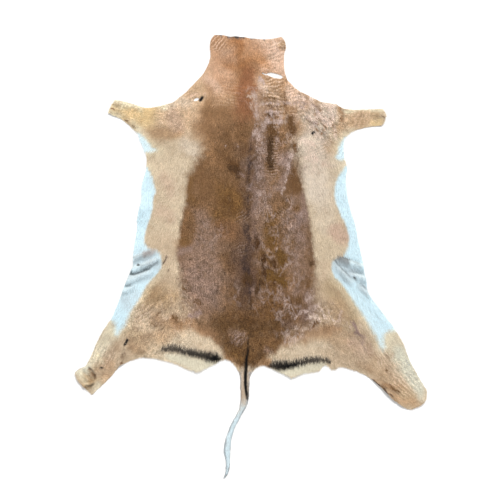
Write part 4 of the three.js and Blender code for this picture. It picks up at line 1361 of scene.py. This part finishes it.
def coat_nodes(material):
    """Grows flattened, pointed locks over a mesh, lying along its comb attribute."""
    group = bpy.data.node_groups.new("coat", "GeometryNodeTree")
    sockets = {
        "Density": ("NodeSocketFloat", float(LOCKS_PER_SQUARE_METRE)),
        "Lock Length": ("NodeSocketFloat", LOCK_LENGTH * MM),
        "Lock Width": ("NodeSocketFloat", LOCK_WIDTH * MM),
        "Lock Depth": ("NodeSocketFloat", LOCK_DEPTH * MM),
        "Rise": ("NodeSocketFloat", LOCK_RISE),
        "Sway": ("NodeSocketFloat", LOCK_SWAY),
        "Seed": ("NodeSocketInt", SEED),
    }
    group.interface.new_socket("Geometry", in_out="INPUT", socket_type="NodeSocketGeometry")
    for name, (kind, value) in sockets.items():
        group.interface.new_socket(name, in_out="INPUT", socket_type=kind).default_value = value
    group.interface.new_socket("Geometry", in_out="OUTPUT", socket_type="NodeSocketGeometry")
    tree = Tree(group)
    entry = tree.add("NodeGroupInput").outputs

    def named(name, kind="FLOAT"):
        node = tree.add("GeometryNodeInputNamedAttribute", {"Name": name}, data_type=kind)
        return next(o for o in node.outputs if o.enabled)

    def stored(geometry, name, value, kind="FLOAT"):
        inputs = {"Geometry": geometry, "Name": name}
        node = tree.add("GeometryNodeStoreNamedAttribute", inputs, data_type=kind, domain="POINT")
        tree.put(node.inputs["Value"], value)
        return node.outputs[0]

    def draw(low, high, offset, kind="FLOAT"):
        """A random number or vector for each lock."""
        node = tree.add("FunctionNodeRandomValue", data_type=kind)
        ends = [s for s in node.inputs if s.enabled and s.name in ("Min", "Max")]
        for socket, value in zip(ends, (low, high)):
            tree.put(socket, value)
        tree.put(node.inputs["Seed"], tree.maths("ADD", entry["Seed"], float(offset)))
        return next(o for o in node.outputs if o.enabled)

    spread = tree.add(
        "GeometryNodeDistributePointsOnFaces",
        {"Mesh": entry["Geometry"], "Density": entry["Density"], "Seed": entry["Seed"]},
        distribute_method="RANDOM",
    )
    points = spread.outputs["Points"]
    normal = spread.outputs["Normal"]
    for name, value in (("root", tree.add("GeometryNodeInputPosition").outputs[0]), ("shade", None)):
        kind = "FLOAT_VECTOR" if value else "FLOAT"
        points = stored(points, name, value or draw(-1.0, 1.0, 1), kind)

    sway = tree.scaled(draw((-1.0, -1.0, -1.0), (1.0, 1.0, 1.0), 2, "FLOAT_VECTOR"), entry["Sway"])
    rise = tree.times(tree.times(entry["Rise"], named("rise")), draw(0.55, 1.35, 3))
    swayed = tree.vectors("ADD", named("comb", "FLOAT_VECTOR"), sway)
    along = tree.vectors("ADD", swayed, tree.scaled(normal, rise))
    turned = tree.add("FunctionNodeAlignRotationToVector", {"Vector": along}, axis="Z", pivot_axis="AUTO")
    turned = tree.add(
        "FunctionNodeAlignRotationToVector",
        {"Rotation": turned.outputs[0], "Vector": normal},
        axis="Y",
        pivot_axis="Z",
    )
    size = tree.add(
        "ShaderNodeCombineXYZ",
        {
            0: tree.times(entry["Lock Width"], draw(0.7, 1.3, 4)),
            1: entry["Lock Depth"],
            2: tree.times(tree.times(entry["Lock Length"], named("length")), draw(0.7, 1.2, 5)),
        },
    )
    inputs = {"Vertices": 3, "Side Segments": 1, "Fill Segments": 1, "Depth": 1.0}
    inputs |= {"Radius Top": 0.0, "Radius Bottom": 0.55}
    cone = tree.add("GeometryNodeMeshCone", inputs, fill_type="NGON")
    here = tree.add("GeometryNodeInputPosition").outputs[0]
    height = tree.add("ShaderNodeSeparateXYZ", {0: here}).outputs[2]
    lock = stored(cone.outputs[0], "along", height)
    grown = tree.add(
        "GeometryNodeInstanceOnPoints",
        {"Points": points, "Instance": lock, "Rotation": turned.outputs[0], "Scale": size.outputs[0]},
    )
    real = tree.add("GeometryNodeRealizeInstances", {"Geometry": grown.outputs[0]})
    smooth = tree.add("GeometryNodeSetShadeSmooth", {"Geometry": real.outputs[0], "Shade Smooth": False})
    done = tree.add("GeometryNodeSetMaterial", {"Geometry": smooth.outputs[0], "Material": material})
    tree.put(tree.add("NodeGroupOutput").inputs[0], done.outputs[0])
    return group


def make_coat(name, group, host_mesh, settings):
    """One part of the coat as a plain mesh, grown over its share of the skin."""
    host = new_object(name + " ground", host_mesh)
    modifier = host.modifiers.new("coat", "NODES")
    modifier.node_group = group
    sockets = {s.name: s.identifier for s in group.interface.items_tree if s.in_out == "INPUT"}
    for key, value in settings.items():
        modifier[sockets[key]] = value
    evaluated = host.evaluated_get(bpy.context.evaluated_depsgraph_get())
    mesh = bpy.data.meshes.new_from_object(evaluated)
    host.modifiers.remove(modifier)
    bpy.data.objects.remove(host)
    mesh.name = name
    corners = values_of(mesh.loops, "vertex_index", np.int32)
    flat = values_of(mesh.vertices, "co", each=3)[:, :2]
    low, high = flat.min(0), flat.max(0)
    flat = (flat - low) / max(high - low)
    mesh.uv_layers.new(name="OFBake").data.foreach_set("uv", flat[corners].ravel())
    return new_object(name, mesh)


# Where each part of the coat grows: the parts have like areas, so that each has a like number of locks.
COAT_PARTS = {
    "coat_neck_and_forelegs": lambda x, y: y > NECK_LINE,
    "coat_left_side": lambda x, y: (x < BACK_LINE) & (y <= NECK_LINE) & (y > RUMP_LINE),
    "coat_right_side": lambda x, y: (x >= BACK_LINE) & (y <= NECK_LINE) & (y > RUMP_LINE),
    "coat_rump_and_tail": lambda x, y: y <= RUMP_LINE,
}


def lengths(places, fields, comb, rim_off, open_off):
    """How long the hair is at each place, as a share of the full length."""
    x, y = places.T
    foreleg = step_between(np.abs(x), 225, 280) * step_between(y, 320, 350)
    hock = step_between(np.abs(x), 300, 380) * step_between(-y, 190, 260)
    share = 1 - 0.12 * step_between(y, 400, 460) - 0.35 * np.maximum(foreleg, hock)
    share += 0.12 * (fields["belly"] > 0) + 0.25 * (fields["smoke"] > 0)
    share *= 1 - 0.2 * (fields["tail"] > 0)
    share *= 1 - 0.35 * np.clip(fields["crease"], 0, 1)
    share *= 0.55 + 0.45 * step_between(rim_off, 0, 12)
    black_spot_off = black_spot_depth(places + 5 * comb)
    return share * (0.2 + 0.8 * step_between(open_off, 0, 13)) * (0.25 + 0.75 * step_between(-black_spot_off, 1, 6))


def make_coats(plan, fields, comb, hair):
    places, triangles, runs = plan
    heights = lift(places) + hair_side_height(places)
    open_rims = [places[run] for run in runs[1:] if is_open_hole(places[run])]
    rim_off = how_far_from(places[runs[0]], places)
    open_off = how_far_from(np.vstack(open_rims), places)
    extra = {
        "length": lengths(places, fields, comb, rim_off, open_off),
        "rise": 1 + 1.0 * fields["ruffled"],
    }
    group = coat_nodes(hair)
    middles = places[triangles].mean(1)
    density = float(LOCKS_PER_SQUARE_METRE)
    coats = []
    for number, (name, grows) in enumerate(COAT_PARTS.items()):
        chosen = triangles[grows(*middles.T)]
        used, faces = np.unique(chosen, return_inverse=True)
        ground = new_mesh(name, np.column_stack([places, heights])[used] * MM, faces.reshape(-1, 3))
        picked = {key: values[used] for key, values in {**fields, **extra}.items()}
        store_coat(ground, places[used], heights[used], picked, comb[used])
        width = LOCK_WIDTH * 1
        settings = {"Density": density, "Seed": SEED + 10 * number, "Lock Width": width * MM}
        coats.append(make_coat(name, group, ground, settings))
    return coats


# The floor, the light and the camera


def make_stage():
    bpy.ops.mesh.primitive_plane_add(size=FLOOR_SIDE)
    floor = bpy.context.object
    floor.name = "floor"
    material, tree, surface = new_material("floor")
    surface.inputs["Base Color"].default_value = colour("floor")
    surface.inputs["Roughness"].default_value = 0.95
    surface.inputs["Specular IOR Level"].default_value = 0.1
    floor.data.materials.append(material)


def make_light():
    world = bpy.data.worlds.new("studio")
    bpy.context.scene.world = world
    world.use_nodes = True
    sky = world.node_tree.nodes["Background"]
    sky.inputs["Color"].default_value = (1.0, 1.0, 1.0, 1.0)
    sky.inputs["Strength"].default_value = SKY_STRENGTH
    sun = bpy.data.lights.new("window", "SUN")
    sun.energy = WINDOW_STRENGTH
    sun.angle = WINDOW_SPREAD
    lamp = bpy.data.objects.new("window", sun)
    lamp.rotation_euler = Vector(TOWARDS_WINDOW).to_track_quat("Z", "Y").to_euler()
    bpy.context.scene.collection.objects.link(lamp)


def make_camera():
    data = bpy.data.cameras.new("camera")
    data.lens = LENS
    data.sensor_width = SENSOR
    data.clip_end = 60
    camera = bpy.data.objects.new("camera", data)
    height = VIEW_WIDTH * MM * LENS / SENSOR
    camera.location = (VIEW_CENTRE[0] * MM, VIEW_CENTRE[1] * MM, height)
    bpy.context.scene.collection.objects.link(camera)
    bpy.context.scene.camera = camera


def main():
    make_camera()
    make_stage()
    make_light()
    bpy.context.scene.view_settings.view_transform = "Standard"

    plan = plan_of_skin()
    places = plan[0]
    comb = combed(places)
    fields = colour_fields(places + SHOWS_AT * comb)
    fields["black_spot"] = softened(black_spot_depth(places + comb), 1.4)
    coat_colour = coat_colour_group(ragged_edge_group(), ruffle_group())
    speckled = speckled_group()
    hair = hair_material(coat_colour, speckled)

    skin = make_skin(plan, fields, comb)
    skin.data.materials.append(under_coat_material(coat_colour, speckled))
    skin.data.materials.append(flesh_material("flesh side", 0.0))
    skin.data.materials.append(flesh_material("cut edge", 0.3))
    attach(skin, BODY)
    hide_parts(NODE)

    coats = make_coats(plan, fields, comb, hair)
    for coat in coats:
        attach(coat, BODY)
    for coat in coats:
        print(coat.name, len(coat.data.polygons), "faces")


main()
